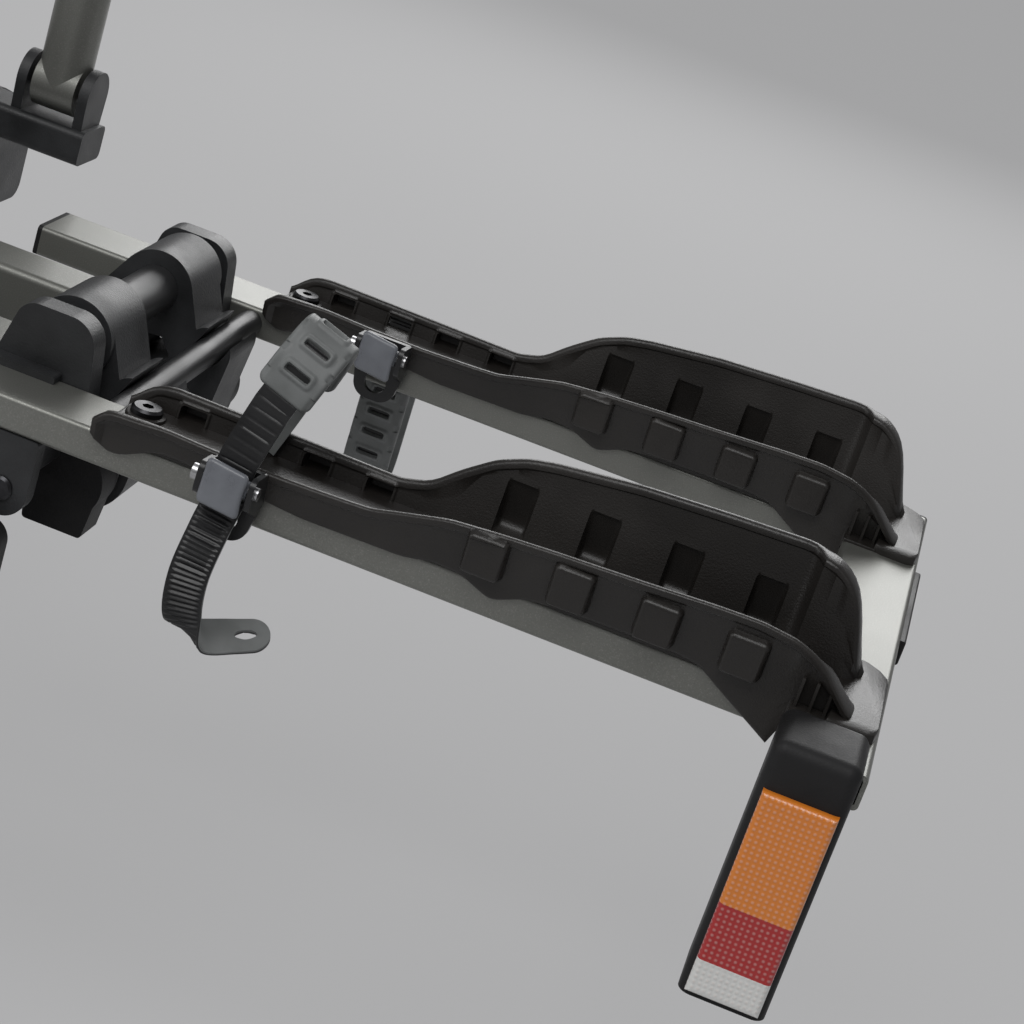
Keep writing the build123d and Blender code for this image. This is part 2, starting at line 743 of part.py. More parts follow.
def centre_cover():
    shell = box(-cover_x, cover_x, cover_rear_y, cover_front_y, spine_high, cover_top)
    shell = fillet(shell.edges().filter_by(Axis.Z), 16)
    shell = fillet(shell.edges().group_by(Axis.Z)[-1], 8)
    room = box(-cover_x + cover_wall, cover_x - cover_wall, cover_rear_y + cover_wall,
               cover_front_y - cover_wall,
               spine_high - 1, cover_top - cover_wall)
    room = fillet(room.edges().filter_by(Axis.Z), 13)
    door = box(-12, 12, cover_rear_y - 1, cover_front_y + 1, spine_high - 1, rod_z + rod_h / 2 + 4)
    return shell - room - door


def mast_base():
    y0, y1 = mast_base_y - mast_base_w / 2, mast_base_y + mast_base_w / 2
    bar = box(-mast_base_x, mast_base_x, y0, y1, mast_base_z0, mast_base_z1)
    bar = fillet(bar.edges().filter_by(Axis.X), 4)
    bar -= box(-hook_t, hook_t, y0 - 1, y1 + 1, mast_base_z0 - 1, mast_base_z0 + mast_base_notch)
    ear = end_view(hull(circle_at(mast_base_y, mast_foot_z, mast_ear_r),
                        Pos(mast_base_y, mast_base_z1 - 2) * Rectangle(mast_base_w - 8, 4)), 0, mast_ear_t)
    inner = mast_x - mast_r - side_gap - mast_ear_t
    outer = mast_x + mast_r + side_gap
    pieces = [bar]
    for x in (inner, outer, -inner - mast_ear_t, -outer - mast_ear_t):
        pieces.append(Pos(x, 0, 0) * ear)
    for x in (mast_x, -mast_x):
        half = mast_r + side_gap + mast_ear_t
        pieces.append(rod_x(mast_base_y, mast_foot_z, mast_pin_r, x - half, x + half))
    return Part() + pieces


def number_plate_board():
    board = box(-board_x, board_x, board_y, board_y + board_t, board_low, board_top)
    board = fillet(board.edges().filter_by(Axis.Y), 10)
    board -= box(-board_x + board_rim, board_x - board_rim, board_y - 1, board_y + 2.5,
                 board_low + board_rim, board_top - board_rim)
    for x in (-plate_hole_x, plate_hole_x):
        board -= rod_y(x, (board_top + board_low) / 2, plate_hole_r, board_y - 1, board_y + board_t + 1)
    return board


# Tilt latch
def fork(y, z, radius, half, inner):
    # Two cheeks from a pivot up to the rod's pin, with the pin between them
    shape = hull(circle_at(y, z, radius), circle_at(y, rod_z, crank_pin_r + 3))
    cheek = end_view(shape, inner, half)
    return cheek + mirror(cheek, about=Plane.YZ) + rod_x(y, rod_z, crank_pin_r, -half, half)


def pedal():
    half = 9.0
    body = fork(pedal_y, pedal_z, 9, half, rod_t / 2 + side_gap)
    body += end_view(hull(circle_at(pedal_y, pedal_z, 9), circle_at(pedal_pad_y1 - 6, pedal_z, 5)),
                     -half, half)
    pad = box(-pedal_pad_w / 2, pedal_pad_w / 2, pedal_pad_y0, pedal_pad_y1, pedal_z - 2,
              pedal_z - 2 + pedal_pad_t)
    body += fillet(pad.edges().filter_by(Axis.Z) + pad.edges().group_by(Axis.Z)[-1], 3)
    return body - rod_x(pedal_y, pedal_z, pedal_pin_r + run_gap, -20, 20)


def tilt_hook():
    # Drawn engaged, then turned clear of its catch
    half = hook_t / 2
    body = fork(hook_y, hook_z, 9, half, rod_t / 2 + side_gap / 2)
    top = catch_z + catch_r + 7
    under = catch_z + catch_r + part_gap
    arm = outline((hook_y - 4, hook_z - 8, 3), (hook_y - 4, hook_z + 8, 3), (catch_y - 14, top, 6),
                  (catch_y + 14, top, 6),
                  (catch_y + 11, catch_z - 3, 1.5), (catch_y + catch_r + part_gap, catch_z - 3, 1.5),
                  (catch_y + catch_r + part_gap, under, 1), (catch_y - 12, under, 8),
                  (hook_y + 16, hook_z - 8, 8))
    body += end_view(arm, -half, half)
    body -= rod_x(hook_y, hook_z, pedal_pin_r + run_gap, -20, 20)
    return body


def turned(part, y, z, angle):
    # Turned about an axis along X, the front end up for a positive angle
    return Pos(0, y, z) * Rot(angle, 0, 0) * Pos(0, -y, -z) * part


def crank_drop(angle):
    # How far the hook's pin sinks below its engaged height when the hook is turned
    return (rod_z - hook_z) * (1 - cos(radians(angle)))


def pull_rod():
    bar = box(-rod_t / 2, rod_t / 2, pedal_y - 9, hook_y + 9, rod_z - rod_h / 2, rod_z + rod_h / 2)
    hook_pin_y = hook_y - (rod_z - hook_z) * sin(radians(hook_lift))
    reach = crank_pin_r + crank_gap
    for y, drop in ((pedal_y, 0), (hook_pin_y, crank_drop(hook_lift + hook_travel))):
        bar -= box(-rod_t, rod_t, y - reach, y + reach, rod_z - reach - drop, rod_z + rod_h)
    return bar


# Ball coupling
def coupling_housing():
    # Head over the tow ball, with the ears of the lever
    body = end_view(outline((housing_joint, housing_low, 0), (housing_joint, housing_top, 0),
                            (-18, housing_top, 24),
                            (22, 44, 24), (housing_front, 12, 24), (housing_front, housing_low, 10)),
                    -housing_x, housing_x)
    ear = end_view(hull(circle_at(lever_pin_y, lever_pin_z, lever_hub_r),
                        Pos(lever_pin_y, housing_top - 2) * Rectangle(2 * lever_hub_r + 14, 4)),
                   lever_hub_r + 4, lever_hub_r + 4 + lever_ear_t)
    body += [ear, mirror(ear, about=Plane.YZ)]
    body -= rod_z_axis(0, 0, ball_r + ball_clear, housing_low - 1, 0)
    body -= Sphere(ball_r + ball_clear)
    body -= box(-jaw_slot_x, jaw_slot_x, -82, -14, housing_low - 1, 36)
    body -= rod_x(jaw_y, jaw_z, jaw_pin_r, -60, 60)
    return body - rod_x(lever_pin_y, lever_pin_z, jaw_pin_r, -60, 60)


def coupling_tail():
    # Bracket behind the head: carries the tilt bolt and the catch, with a slot for the hook
    body = end_view(outline((housing_rear, housing_low, 16), (housing_rear, housing_top, 8),
                            (housing_joint, housing_top, 0), (housing_joint, housing_low, 0)),
                    -housing_rear_x, housing_rear_x)
    body -= box(-hook_t / 2 - hook_side, hook_t / 2 + hook_side, housing_rear - 1, -110, 22,
                housing_top + 1)
    body -= rod_x(tilt_y, tilt_z, tilt_r, -60, 60)
    return body - rod_x(catch_y, catch_z, catch_r, -60, 60)


def coupling_pins():
    ear_x = lever_hub_r + 4 + lever_ear_t
    outer = spine_x + spine_t / 2
    pins = [rod_x(jaw_y, jaw_z, jaw_pin_r, -housing_x, housing_x),
            rod_x(lever_pin_y, lever_pin_z, jaw_pin_r, -ear_x, ear_x),
            rod_x(catch_y, catch_z, catch_r, -housing_rear_x, housing_rear_x)]
    bolt = rod_x(tilt_y, tilt_z, tilt_r, -outer - side_gap, outer + side_gap)
    for x in (-outer - side_gap - 6, outer + side_gap):
        bolt += rod_x(tilt_y, tilt_z, tilt_r + 4, x, x + 6)
    return Part() + pins + bolt


def ball_jaw():
    half = jaw_slot_x - part_gap
    body = end_view(outline((-15, -23, 1), (-52, -24, 8), (-60, -8, 8), (-46, 16, 6), (-15, 16, 1)),
                    -half, half)
    body -= Sphere(ball_r + ball_clear + part_gap)
    body -= rod_z_axis(0, 0, ball_r + ball_clear + part_gap, -40, 0)
    return body - rod_x(jaw_y, jaw_z, jaw_pin_r + run_gap, -20, 20)


def coupling_lever():
    half = lever_hub_r + 4 - part_gap
    hub = rod_x(lever_pin_y, lever_pin_z, lever_hub_r - 0.5, -half, half)
    z1 = lever_arm_z + lever_arm_t / 2
    z0 = lever_arm_z - lever_arm_t / 2
    arm = end_view(outline((-50, 73, 5), (-60, 86, 8), (-84, z1, 14), (lever_end_y, z1, 2),
                           (lever_end_y, z0, 2),
                           (-98, z0, 12), (-74, 63, 6)), -lever_arm_x, lever_arm_x)
    body = arm + hub
    body -= rod_x(lever_pin_y, lever_pin_z, jaw_pin_r + run_gap, -40, 40)
    return body - rod_z_axis(0, lock_y, lock_r + run_gap, z0 + 2, z1 + 1)


def lever_grip():
    z0, z1 = lever_arm_z - grip_t / 2, lever_arm_z + grip_t / 2
    y0 = lever_end_y - 8
    grip = box(-grip_x, grip_x, y0, y0 + grip_l, z0, z1)
    grip = fillet(grip.edges(), 7)
    return grip - box(-lever_arm_x, lever_arm_x, lever_end_y, y0 + grip_l + 1,
                      lever_arm_z - lever_arm_t / 2, lever_arm_z + lever_arm_t / 2)


def lock_cylinder():
    z1 = lever_arm_z + lever_arm_t / 2 + 1.5
    barrel = rod_z_axis(0, lock_y, lock_r, lever_arm_z - lever_arm_t / 2 + 2 + part_gap, z1)
    return barrel - box(-0.8, 0.8, lock_y - 4, lock_y + 4, z1 - 4, z1 + 1)


# Mast and bike arms
def mast():
    y = mast_base_y
    path = FilletPolyline((mast_x, y, mast_foot_z), (mast_x, y, mast_top_z), (-mast_x, y, mast_top_z),
                          (-mast_x, y, mast_foot_z), radius=mast_bend)
    ring = Circle(mast_r) - Circle(mast_r - mast_wall)
    tube = sweep(Plane(origin=path @ 0, z_dir=path % 0) * ring, path)
    body = tube
    for x in (-mast_x, mast_x):
        body += rod_x(y, mast_foot_z, mast_r, x - mast_r + mast_wall, x + mast_r - mast_wall)
        body += rod_z_axis(x, y, mast_r - mast_wall, mast_foot_z, mast_foot_z + 20)
    return body - rod_x(y, mast_foot_z, mast_pin_r + run_gap, -mast_x - 30, mast_x + 30)


def bike_arm(x, bike_y):
    # Clamp ring on the mast's top bar and the tube that carries the claw
    ring = rod_x(mast_base_y, mast_top_z, clamp_r, x - clamp_w / 2, x + clamp_w / 2)
    tube = rod_y(x, mast_top_z, bike_arm_r, bike_y - 14, mast_base_y - mast_r)
    return ring + tube - rod_x(mast_base_y, mast_top_z, mast_r + run_gap, x - 40, x + 40)


def half_ring(bike_y, side):
    # Half of the claw's ring: side -1 below its middle, +1 above
    reach = 2 * (claw_r + claw_t)
    middle = claw_z + (part_gap if side > 0 else 0)
    shell = circle_at(bike_y, claw_z, claw_r + claw_t) - circle_at(bike_y, claw_z, claw_r)
    half = shell & (Pos(bike_y, middle + side * reach / 2) * Rectangle(2 * reach, reach))
    length = knob_out + claw_flange_end - claw_r
    middle += side * (claw_flange_t / 2 + claw_parting)
    return half + Pos(bike_y - claw_r - length / 2, middle) * Rectangle(length, claw_flange_t)


def arm_claw(x, bike_y):
    # The fixed half of the claw on its saddle, with the eyes and pin of the upper half
    claw = end_view(half_ring(bike_y, -1), x - claw_w / 2, x + claw_w / 2)
    saddle = box(x - 8, x + 8, bike_y - 12, bike_y + 12, mast_top_z, claw_z - claw_r - 2)
    pin_y, pin_z = bike_y + claw_pin_y, claw_z + claw_pin_z
    eye = end_view(hull(circle_at(pin_y, pin_z, claw_eye_r),
                        Pos(bike_y + claw_r + 4, claw_z - 4) * Rectangle(6, 6)),
                   0, claw_w / 2 - 6)
    eyes = [Pos(x + 6, 0, 0) * eye, Pos(x - claw_w / 2, 0, 0) * eye]
    body = claw + saddle + eyes + rod_x(pin_y, pin_z, claw_pin_r, x - claw_w / 2, x + claw_w / 2)
    body -= rod_y(x, mast_top_z, bike_arm_r + run_gap, bike_y - 40, bike_y + 60)
    return body - box(x - claw_w, x + claw_w, bike_y - 2 * knob_out, fork_end(bike_y), claw_z - 9, claw_z)


def fork_end(bike_y):
    # Where the lugs beside the knob's stud begin
    return bike_y - knob_out + stud_r + side_gap


def claw_fork(x, bike_y):
    # Two lugs on the fixed half of the claw, with the knob's stud between them
    inner, outer = stud_r + side_gap, claw_w / 2
    y0, z1 = bike_y - knob_out - claw_flange_end, claw_z - claw_parting
    lugs = [box(x + a, x + b, y0, fork_end(bike_y), z1 - claw_flange_t, z1)
            for a, b in ((-outer, -inner), (inner, outer))]
    return Part() + lugs


def arm_jaw(x, bike_y):
    # The upper half of the claw, on a pin at its front end
    pin_y, pin_z = bike_y + claw_pin_y, claw_z + claw_pin_z
    jaw = end_view(half_ring(bike_y, 1), x - claw_w / 2, x + claw_w / 2)
    jaw -= rod_x(pin_y, pin_z, claw_eye_r + part_gap, x - claw_w / 2 - 1, x + claw_w / 2 + 1)
    half = claw_w / 2 - 6 + part_gap
    for middle in (x - claw_w / 2, x + claw_w / 2):
        jaw -= box(middle - half, middle + half, bike_y + claw_r - 3, pin_y + 20,
                   claw_z - 1, pin_z + claw_eye_r + part_gap)
    tongue = end_view(hull(circle_at(pin_y, pin_z, claw_eye_r),
                           Pos(bike_y + claw_r + 3, claw_z + 10) * Rectangle(5, 5)),
                      x - 6 + part_gap, x + 6 - part_gap)
    jaw = jaw + tongue
    jaw -= rod_x(pin_y, pin_z, claw_pin_r + run_gap, x - 20, x + 20)
    return jaw - rod_z_axis(x, bike_y - knob_out, stud_r + run_gap, claw_z - 1, claw_z + 20)


def arm_knob(x, bike_y):
    y = bike_y - knob_out
    z0 = claw_z + claw_flange_t + claw_parting + 2 * part_gap
    knob = rod_z_axis(x, y, knob_r, z0, z0 + knob_t)
    knob = chamfer(knob.edges().group_by(Axis.Z)[-1], 3)
    for i in range(8):
        knob -= Pos(x, y, 0) * Rot(0, 0, 45 * i) * rod_z_axis(knob_r + 2.5, 0, 5, z0 - 1, z0 + knob_t + 1)
    return knob + rod_z_axis(x, y, stud_r, claw_z - claw_flange_t - stud_end, z0)


# Assembly. Each piece of the wheel frame is placed at the right side and mirrored to the left.
rear_arm_x = -34.0
front_arm_x = 34.0
home = Pos(frame_x, rear_rail_y, rail_top_z)
to_front = Pos(0, rail_spacing, 0)

base = buckle_base()
lever = buckle_lever()
pin = buckle_pin()
used_pad = rim_pad(loop_plane(), pad_points, pad_radii)
spare_pad = rim_pad(hang_plane(), spare_pad_points, [])

side_nodes = {
    "frame": wheel_frame(),
    "hinge_tube": hinge_tube(),
    "rest_bar": rest_bar(),
    "hinge_sockets": hinge_sockets(),
    "frame_screws": frame_screws(),
    "tray_rear": wheel_tray(),
    "tray_front": to_front * wheel_tray(),
    "buckle_bases": Part() + [base, to_front * base],
    "buckle_lever_rear": lever,
    "buckle_lever_front": to_front * lever,
    "buckle_pins": Part() + [pin, to_front * pin],
    "strap_rear": used_strap(),
    "strap_front": to_front * spare_strap(),
    "rim_pads": Part() + [used_pad, to_front * spare_pad],
    "lamp_housing": lamp_housing(),
    "lamp_lens": lamp_lens(),
    "frame_trims": frame_trims(),
    "hinge_arms": Part() + both_rails(hinge_arm()),
}
for name, piece in side_nodes.items():
    placed = home * piece
    export_step(placed, f"parts/{name}_right.step")
    export_step(mirror(placed, about=Plane.YZ), f"parts/{name}_left.step")

placed_tube = home * foot_tube()
placed_caps = home * (Part() + both_rails(foot_cap()))
centre_nodes = {
    "foot_tubes": Part() + [placed_tube, mirror(placed_tube, about=Plane.YZ)],
    "foot_caps": Part() + [placed_caps, mirror(placed_caps, about=Plane.YZ)],
    "rear_beam": beam(beam_y(False)),
    "front_beam": beam(beam_y(True)),
    "spine": spine(),
    "centre_cover": centre_cover(),
    "mast_base": mast_base(),
    "number_plate_board": number_plate_board(),
    "pedal": pedal(),
    "pull_rod": pull_rod(),
    "tilt_hook": turned(tilt_hook(), hook_y, hook_z, hook_lift),
    "coupling_housing": coupling_housing(),
    "coupling_tail": coupling_tail(),
    "coupling_pins": coupling_pins(),
    "ball_jaw": ball_jaw(),
    "coupling_lever": coupling_lever(),
    "lever_grip": lever_grip(),
    "lock_cylinder": lock_cylinder(),
    "mast": mast(),
    "bike_arm_rear": bike_arm(rear_arm_x, rear_rail_y),
    "arm_claw_rear": arm_claw(rear_arm_x, rear_rail_y),
    "claw_fork_rear": claw_fork(rear_arm_x, rear_rail_y),
    "arm_jaw_rear": arm_jaw(rear_arm_x, rear_rail_y),
    "arm_knob_rear": arm_knob(rear_arm_x, rear_rail_y),
    "bike_arm_front": bike_arm(front_arm_x, rear_rail_y + rail_spacing),
    "arm_claw_front": arm_claw(front_arm_x, rear_rail_y + rail_spacing),
    "claw_fork_front": claw_fork(front_arm_x, rear_rail_y + rail_spacing),
    "arm_jaw_front": arm_jaw(front_arm_x, rear_rail_y + rail_spacing),
    "arm_knob_front": arm_knob(front_arm_x, rear_rail_y + rail_spacing),
}
for name, piece in centre_nodes.items():
    export_step(piece, f"parts/{name}.step")
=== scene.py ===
import json
from math import atan2, cos, exp, pi, radians, sin, sqrt

import bmesh
import bpy
from mathutils import Matrix, Vector


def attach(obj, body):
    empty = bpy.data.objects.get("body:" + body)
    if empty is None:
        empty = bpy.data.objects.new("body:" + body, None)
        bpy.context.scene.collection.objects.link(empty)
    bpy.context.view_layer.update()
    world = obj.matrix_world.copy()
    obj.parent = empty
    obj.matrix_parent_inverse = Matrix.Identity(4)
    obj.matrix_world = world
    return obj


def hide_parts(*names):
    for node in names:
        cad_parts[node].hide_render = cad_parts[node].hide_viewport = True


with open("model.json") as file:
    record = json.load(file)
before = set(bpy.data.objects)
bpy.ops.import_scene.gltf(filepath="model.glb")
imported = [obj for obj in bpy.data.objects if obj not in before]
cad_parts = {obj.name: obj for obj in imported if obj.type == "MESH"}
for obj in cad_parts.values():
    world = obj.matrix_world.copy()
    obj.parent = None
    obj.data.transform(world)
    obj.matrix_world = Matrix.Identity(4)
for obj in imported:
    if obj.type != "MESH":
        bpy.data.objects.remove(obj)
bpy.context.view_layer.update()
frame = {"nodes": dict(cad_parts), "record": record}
print("frame loaded:", len(frame["nodes"]), "nodes")

# Trays, straps and buckles are drawn in mm for the right rear rail, from this point on top of it
home = Vector((440.0, -435.0, 50.0))
railSpacing = 235.0


# A value in shader maths: each operator adds its Math node
class Wire:
    def __init__(self, recipe, socket):
        self.recipe = recipe
        self.socket = socket

    def join(self, kind, first, second):
        return self.recipe.add("ShaderNodeMath", {"operation": kind}, {0: first, 1: second})

    def __add__(self, other):
        return self.join("ADD", self, other)

    def __radd__(self, other):
        return self.join("ADD", other, self)

    def __sub__(self, other):
        return self.join("SUBTRACT", self, other)

    def __rsub__(self, other):
        return self.join("SUBTRACT", other, self)

    def __mul__(self, other):
        return self.join("MULTIPLY", self, other)

    def __rmul__(self, other):
        return self.join("MULTIPLY", other, self)

    def __gt__(self, other):
        return self.join("GREATER_THAN", self, other)

    def __lt__(self, other):
        return self.join("LESS_THAN", self, other)


# A material and its nodes
class Recipe:
    def __init__(self, name):
        self.material = bpy.data.materials.new(name)
        self.material.use_nodes = True
        self.tree = self.material.node_tree
        self.tree.nodes.clear()
        self.shader = self.tree.nodes.new("ShaderNodeBsdfPrincipled")
        self.output = self.tree.nodes.new("ShaderNodeOutputMaterial")
        self.close(Wire(self, self.shader.outputs[0]))

    def close(self, surface):
        self.tree.links.new(surface.socket, self.output.inputs[0])

    def feed(self, socket, value):
        if isinstance(value, Wire):
            self.tree.links.new(value.socket, socket)
        else:
            socket.default_value = value

    def add(self, kind, settings=None, values=None, out=0):
        node = self.tree.nodes.new(kind)
        for key, value in (settings or {}).items():
            setattr(node, key, value)
        for key, value in (values or {}).items():
            self.feed(node.inputs[key], value)
        return Wire(self, node.outputs[out])

    def place(self):
        return self.add("ShaderNodeTexCoord", out="Object")

    def noise(self, scale, detail, rough=0.5):
        return self.add("ShaderNodeTexNoise", {}, {"Vector": self.place(), "Scale": scale,
                                                   "Detail": detail, "Roughness": rough})

    def bands(self, place, direction, scale):
        return self.add("ShaderNodeTexWave", {"wave_type": "BANDS", "bands_direction": direction},
                        {"Vector": place, "Scale": scale})

    def ramp(self, value, low, high):
        # From 0 at low to 1 at high
        return self.add("ShaderNodeMapRange", {"clamp": True}, {0: value, 1: low, 2: high, 3: 0.0, 4: 1.0})

    def blendColour(self, share, first, second):
        return self.add("ShaderNodeMix", {"data_type": "RGBA"}, {0: share, 6: first, 7: second}, out=2)

    def bump(self, height, strength, distance):
        return self.add("ShaderNodeBump", {}, {"Height": height, "Strength": strength, "Distance": distance})

    def set(self, **values):
        for name, value in values.items():
            self.feed(self.shader.inputs[name.replace("_", " ")], value)
        return self.material


def tint(red, green, blue):
    return (red, green, blue, 1.0)


# Moulded, cast or painted surface: two tones, a fine grain and slightly uneven gloss
def grained(name, s):
    r = Recipe(name)
    broad = r.ramp(r.noise(s["patch"], 3.0), 0.35, 0.65)
    grain = r.noise(s["grain"], 2.0, 0.6)
    colour = r.blendColour(broad, tint(*s["dark"]), tint(*s["light"]))
    gloss = s["rough"] + (broad - 0.5) * s["uneven"] + (grain - 0.5) * s["uneven"]
    return r.set(Base_Color=colour, Roughness=gloss, Metallic=s.get("metal", 0.0),
                 Specular_IOR_Level=s.get("shine", 0.5), Normal=r.bump(grain, s["bump"], s["depth"]))


# Bare or blackened steel: fine lines of two tones, duller where it is worn
def brushed(name, s):
    r = Recipe(name)
    lines = r.noise(s["scale"], 4.0, 0.7)
    wear = r.ramp(r.noise(s["wearScale"], 3.0), 0.35, 0.7)
    colour = r.blendColour(lines, tint(*s["dark"]), tint(*s["light"]))
    return r.set(Base_Color=colour, Metallic=1.0, Roughness=s["rough"] + wear * s["wear"],
                 Normal=r.bump(lines, s["bump"], s["depth"]))


# Metallic lacquer: flakes that sparkle over a satin silver-grey
def railLacquer():
    s = {"dark": (0.185, 0.187, 0.171), "light": (0.225, 0.227, 0.209), "patch": 14.0, "flake": 1500.0,
         "spark": (0.55, 0.55, 0.51), "sparks": 0.4, "dull": (0.10, 0.10, 0.09), "dulls": 0.3,
         "rough": 0.40, "smoother": 0.1, "metal": 0.62, "brighter": 0.3, "coat": 0.2, "coatRough": 0.3,
         "bump": 0.1, "depth": 0.0002}
    r = Recipe("railLacquer")
    broad = r.ramp(r.noise(s["patch"], 2.0), 0.3, 0.7)
    speck = r.noise(s["flake"], 3.0, 0.7)
    bright = r.ramp(speck, 0.56, 0.74)
    dim = r.ramp(speck, 0.46, 0.30)
    body = r.blendColour(broad, tint(*s["dark"]), tint(*s["light"]))
    body = r.blendColour(dim * s["dulls"], body, tint(*s["dull"]))
    body = r.blendColour(bright * s["sparks"], body, tint(*s["spark"]))
    return r.set(Base_Color=body, Metallic=s["metal"] + bright * s["brighter"],
                 Roughness=s["rough"] - bright * s["smoother"], Coat_Weight=s["coat"],
                 Coat_Roughness=s["coatRough"], Normal=r.bump(speck, s["bump"], s["depth"]))


# Lamp lens: amber above, red between and clear below, with a fine prism pattern and a painted highlight: a
# pale glint painted onto the prism's peaks
def lampLens():
    s = {"red": (0.42, 0.012, 0.012), "amber": (0.75, 0.22, 0.02), "clear": (0.75, 0.75, 0.73),
         "glint": (0.9, 0.75, 0.7), "glints": 0.25, "amberAbove": -0.020, "clearBelow": -0.048,
         "prism": 120.0, "rough": 0.16, "coat": 0.6, "coatRough": 0.05, "bump": 0.35, "depth": 0.0006}
    r = Recipe("lampLens")
    place = r.place()
    height = r.add("ShaderNodeSeparateXYZ", {}, {0: place}, out="Z")
    pattern = r.bands(place, "X", s["prism"]) * r.bands(place, "Z", s["prism"])
    colour = r.blendColour(height > s["amberAbove"], tint(*s["red"]), tint(*s["amber"]))
    colour = r.blendColour(height < s["clearBelow"], colour, tint(*s["clear"]))
    # Painted highlight: the prism pattern's peaks are painted in a pale glint colour
    colour = r.blendColour(r.ramp(pattern, 0.2, 0.9) * s["glints"], colour, tint(*s["glint"]))
    return r.set(Base_Color=colour, Roughness=s["rough"], Coat_Weight=s["coat"],
                 Coat_Roughness=s["coatRough"], Normal=r.bump(pattern, s["bump"], s["depth"]))


# Finishes by slot: two tones, texture scales of patches and grain, gloss and relief
grainedFinishes = {
    "black_tube": {"dark": (0.016, 0.016, 0.017), "light": (0.026, 0.026, 0.027), "patch": 25.0,
                   "grain": 1500.0, "rough": 0.38, "uneven": 0.10, "bump": 0.15, "depth": 0.0004},
    "casting": {"dark": (0.017, 0.0175, 0.0185), "light": (0.030, 0.031, 0.033), "patch": 35.0,
                "grain": 900.0, "rough": 0.42, "uneven": 0.14, "bump": 0.3, "depth": 0.0006,
                "shine": 0.45},
    "tray_plastic": {"dark": (0.0145, 0.0128, 0.0115), "light": (0.0245, 0.0219, 0.0198), "patch": 18.0,
                     "grain": 1100.0, "rough": 0.36, "uneven": 0.12, "bump": 0.3, "depth": 0.0005,
                     "shine": 0.45},
    "buckle_black": {"dark": (0.010, 0.010, 0.011), "light": (0.017, 0.017, 0.018), "patch": 60.0,
                     "grain": 900.0, "rough": 0.34, "uneven": 0.10, "bump": 0.15, "depth": 0.0004},
    "buckle_grey": {"dark": (0.145, 0.152, 0.17), "light": (0.175, 0.185, 0.205), "patch": 90.0,
                    "grain": 1600.0, "rough": 0.30, "uneven": 0.08, "bump": 0.08, "depth": 0.0003},
    "strap_black": {"dark": (0.006, 0.006, 0.0066), "light": (0.010, 0.010, 0.011), "patch": 40.0,
                    "grain": 900.0, "rough": 0.36, "uneven": 0.10, "bump": 0.12, "depth": 0.0004},
    "pad_grey": {"dark": (0.135, 0.142, 0.14), "light": (0.175, 0.183, 0.182), "patch": 70.0,
                 "grain": 1200.0, "rough": 0.50, "uneven": 0.12, "bump": 0.15, "depth": 0.0004},
    "lamp_black": {"dark": (0.012, 0.0118, 0.012), "light": (0.020, 0.0197, 0.0205), "patch": 30.0,
                   "grain": 900.0, "rough": 0.48, "uneven": 0.12, "bump": 0.25, "depth": 0.0005,
                   "shine": 0.2},
    "grey_tube": {"dark": (0.24, 0.245, 0.25), "light": (0.32, 0.325, 0.33), "patch": 20.0,
                  "grain": 1400.0, "rough": 0.36, "uneven": 0.10, "bump": 0.1, "depth": 0.0003,
                  "metal": 0.6},
    "grip_rubber": {"dark": (0.014, 0.014, 0.015), "light": (0.024, 0.024, 0.025), "patch": 40.0,
                    "grain": 700.0, "rough": 0.62, "uneven": 0.12, "bump": 0.35, "depth": 0.0006},
}
brushedFinishes = {
    "black_steel": {"dark": (0.03, 0.03, 0.032), "light": (0.07, 0.07, 0.075), "scale": 400.0,
                    "rough": 0.28, "wear": 0.12, "wearScale": 30.0, "bump": 0.08, "depth": 0.0002},
    "bare_steel": {"dark": (0.42, 0.42, 0.43), "light": (0.62, 0.62, 0.63), "scale": 500.0,
                   "rough": 0.24, "wear": 0.12, "wearScale": 30.0, "bump": 0.08, "depth": 0.0002},
}


def materialName(slotName):
    first, *others = slotName.split("_")
    return first + "".join(word.capitalize() for word in others)


looks = {"rail_paint": railLacquer(), "lens_red": lampLens()}
for slotName, finish in grainedFinishes.items():
    looks[slotName] = grained(materialName(slotName), finish)
for slotName, finish in brushedFinishes.items():
    looks[slotName] = brushed(materialName(slotName), finish)
print("materials made:", len(looks))


def dress(thing, slotName):
    thing.data.materials.clear()
    thing.data.materials.append(looks[slotName])


# CAD nodes keep their shape; a small bevel, in mm, softens their moulded and cast edges
bevels = {"frame": 0.0, "tilt_hook": 0.6, "buckle_bases": 0.4, "number_plate_board": 0.5,
          "hinge_sockets": 1.0, "hinge_arms": 1.2, "coupling_housing": 1.2, "coupling_tail": 1.2}
for name in ("spine", "mast_base", "pedal", "coupling_lever", "ball_jaw", "foot_caps", "bike_arm_rear",
             "bike_arm_front", "arm_claw_rear", "arm_claw_front", "arm_jaw_rear", "arm_jaw_front",
             "claw_fork_rear", "claw_fork_front"):
    bevels[name] = 0.8
otherBevel = 0.3
slotOf = {part["node"]: part["material_slot"] for part in frame["record"]["subparts"]}
for name, node in frame["nodes"].items():
    dress(node, slotOf[name])
    width = bevels.get(name.replace("_right", "").replace("_left", ""), otherBevel)
    if width:
        edge = node.modifiers.new("softEdge", "BEVEL")
        edge.width = width / 1000
        edge.segments = 2
        edge.limit_method = "ANGLE"
        edge.angle_limit = radians(35)
print("CAD nodes dressed")


# Small helpers for shapes
def clamp(value, low=0.0, high=1.0):
    return max(low, min(high, value))


def soft(value):
    # From 0 to 1 with no corner at either end
    value = clamp(value)
    return value * value * (3 - 2 * value)


def quarter(value):
    # From 0 to 1 as a quarter round: steep at first, level at the end
    value = clamp(value)
    return sqrt(1 - (1 - value) ** 2)


def within(value, low, high, easeLow, easeHigh):
    # 1 inside a span, falling softly to 0 at its ends
    return soft((value - low) / easeLow) * soft((high - value) / easeHigh)


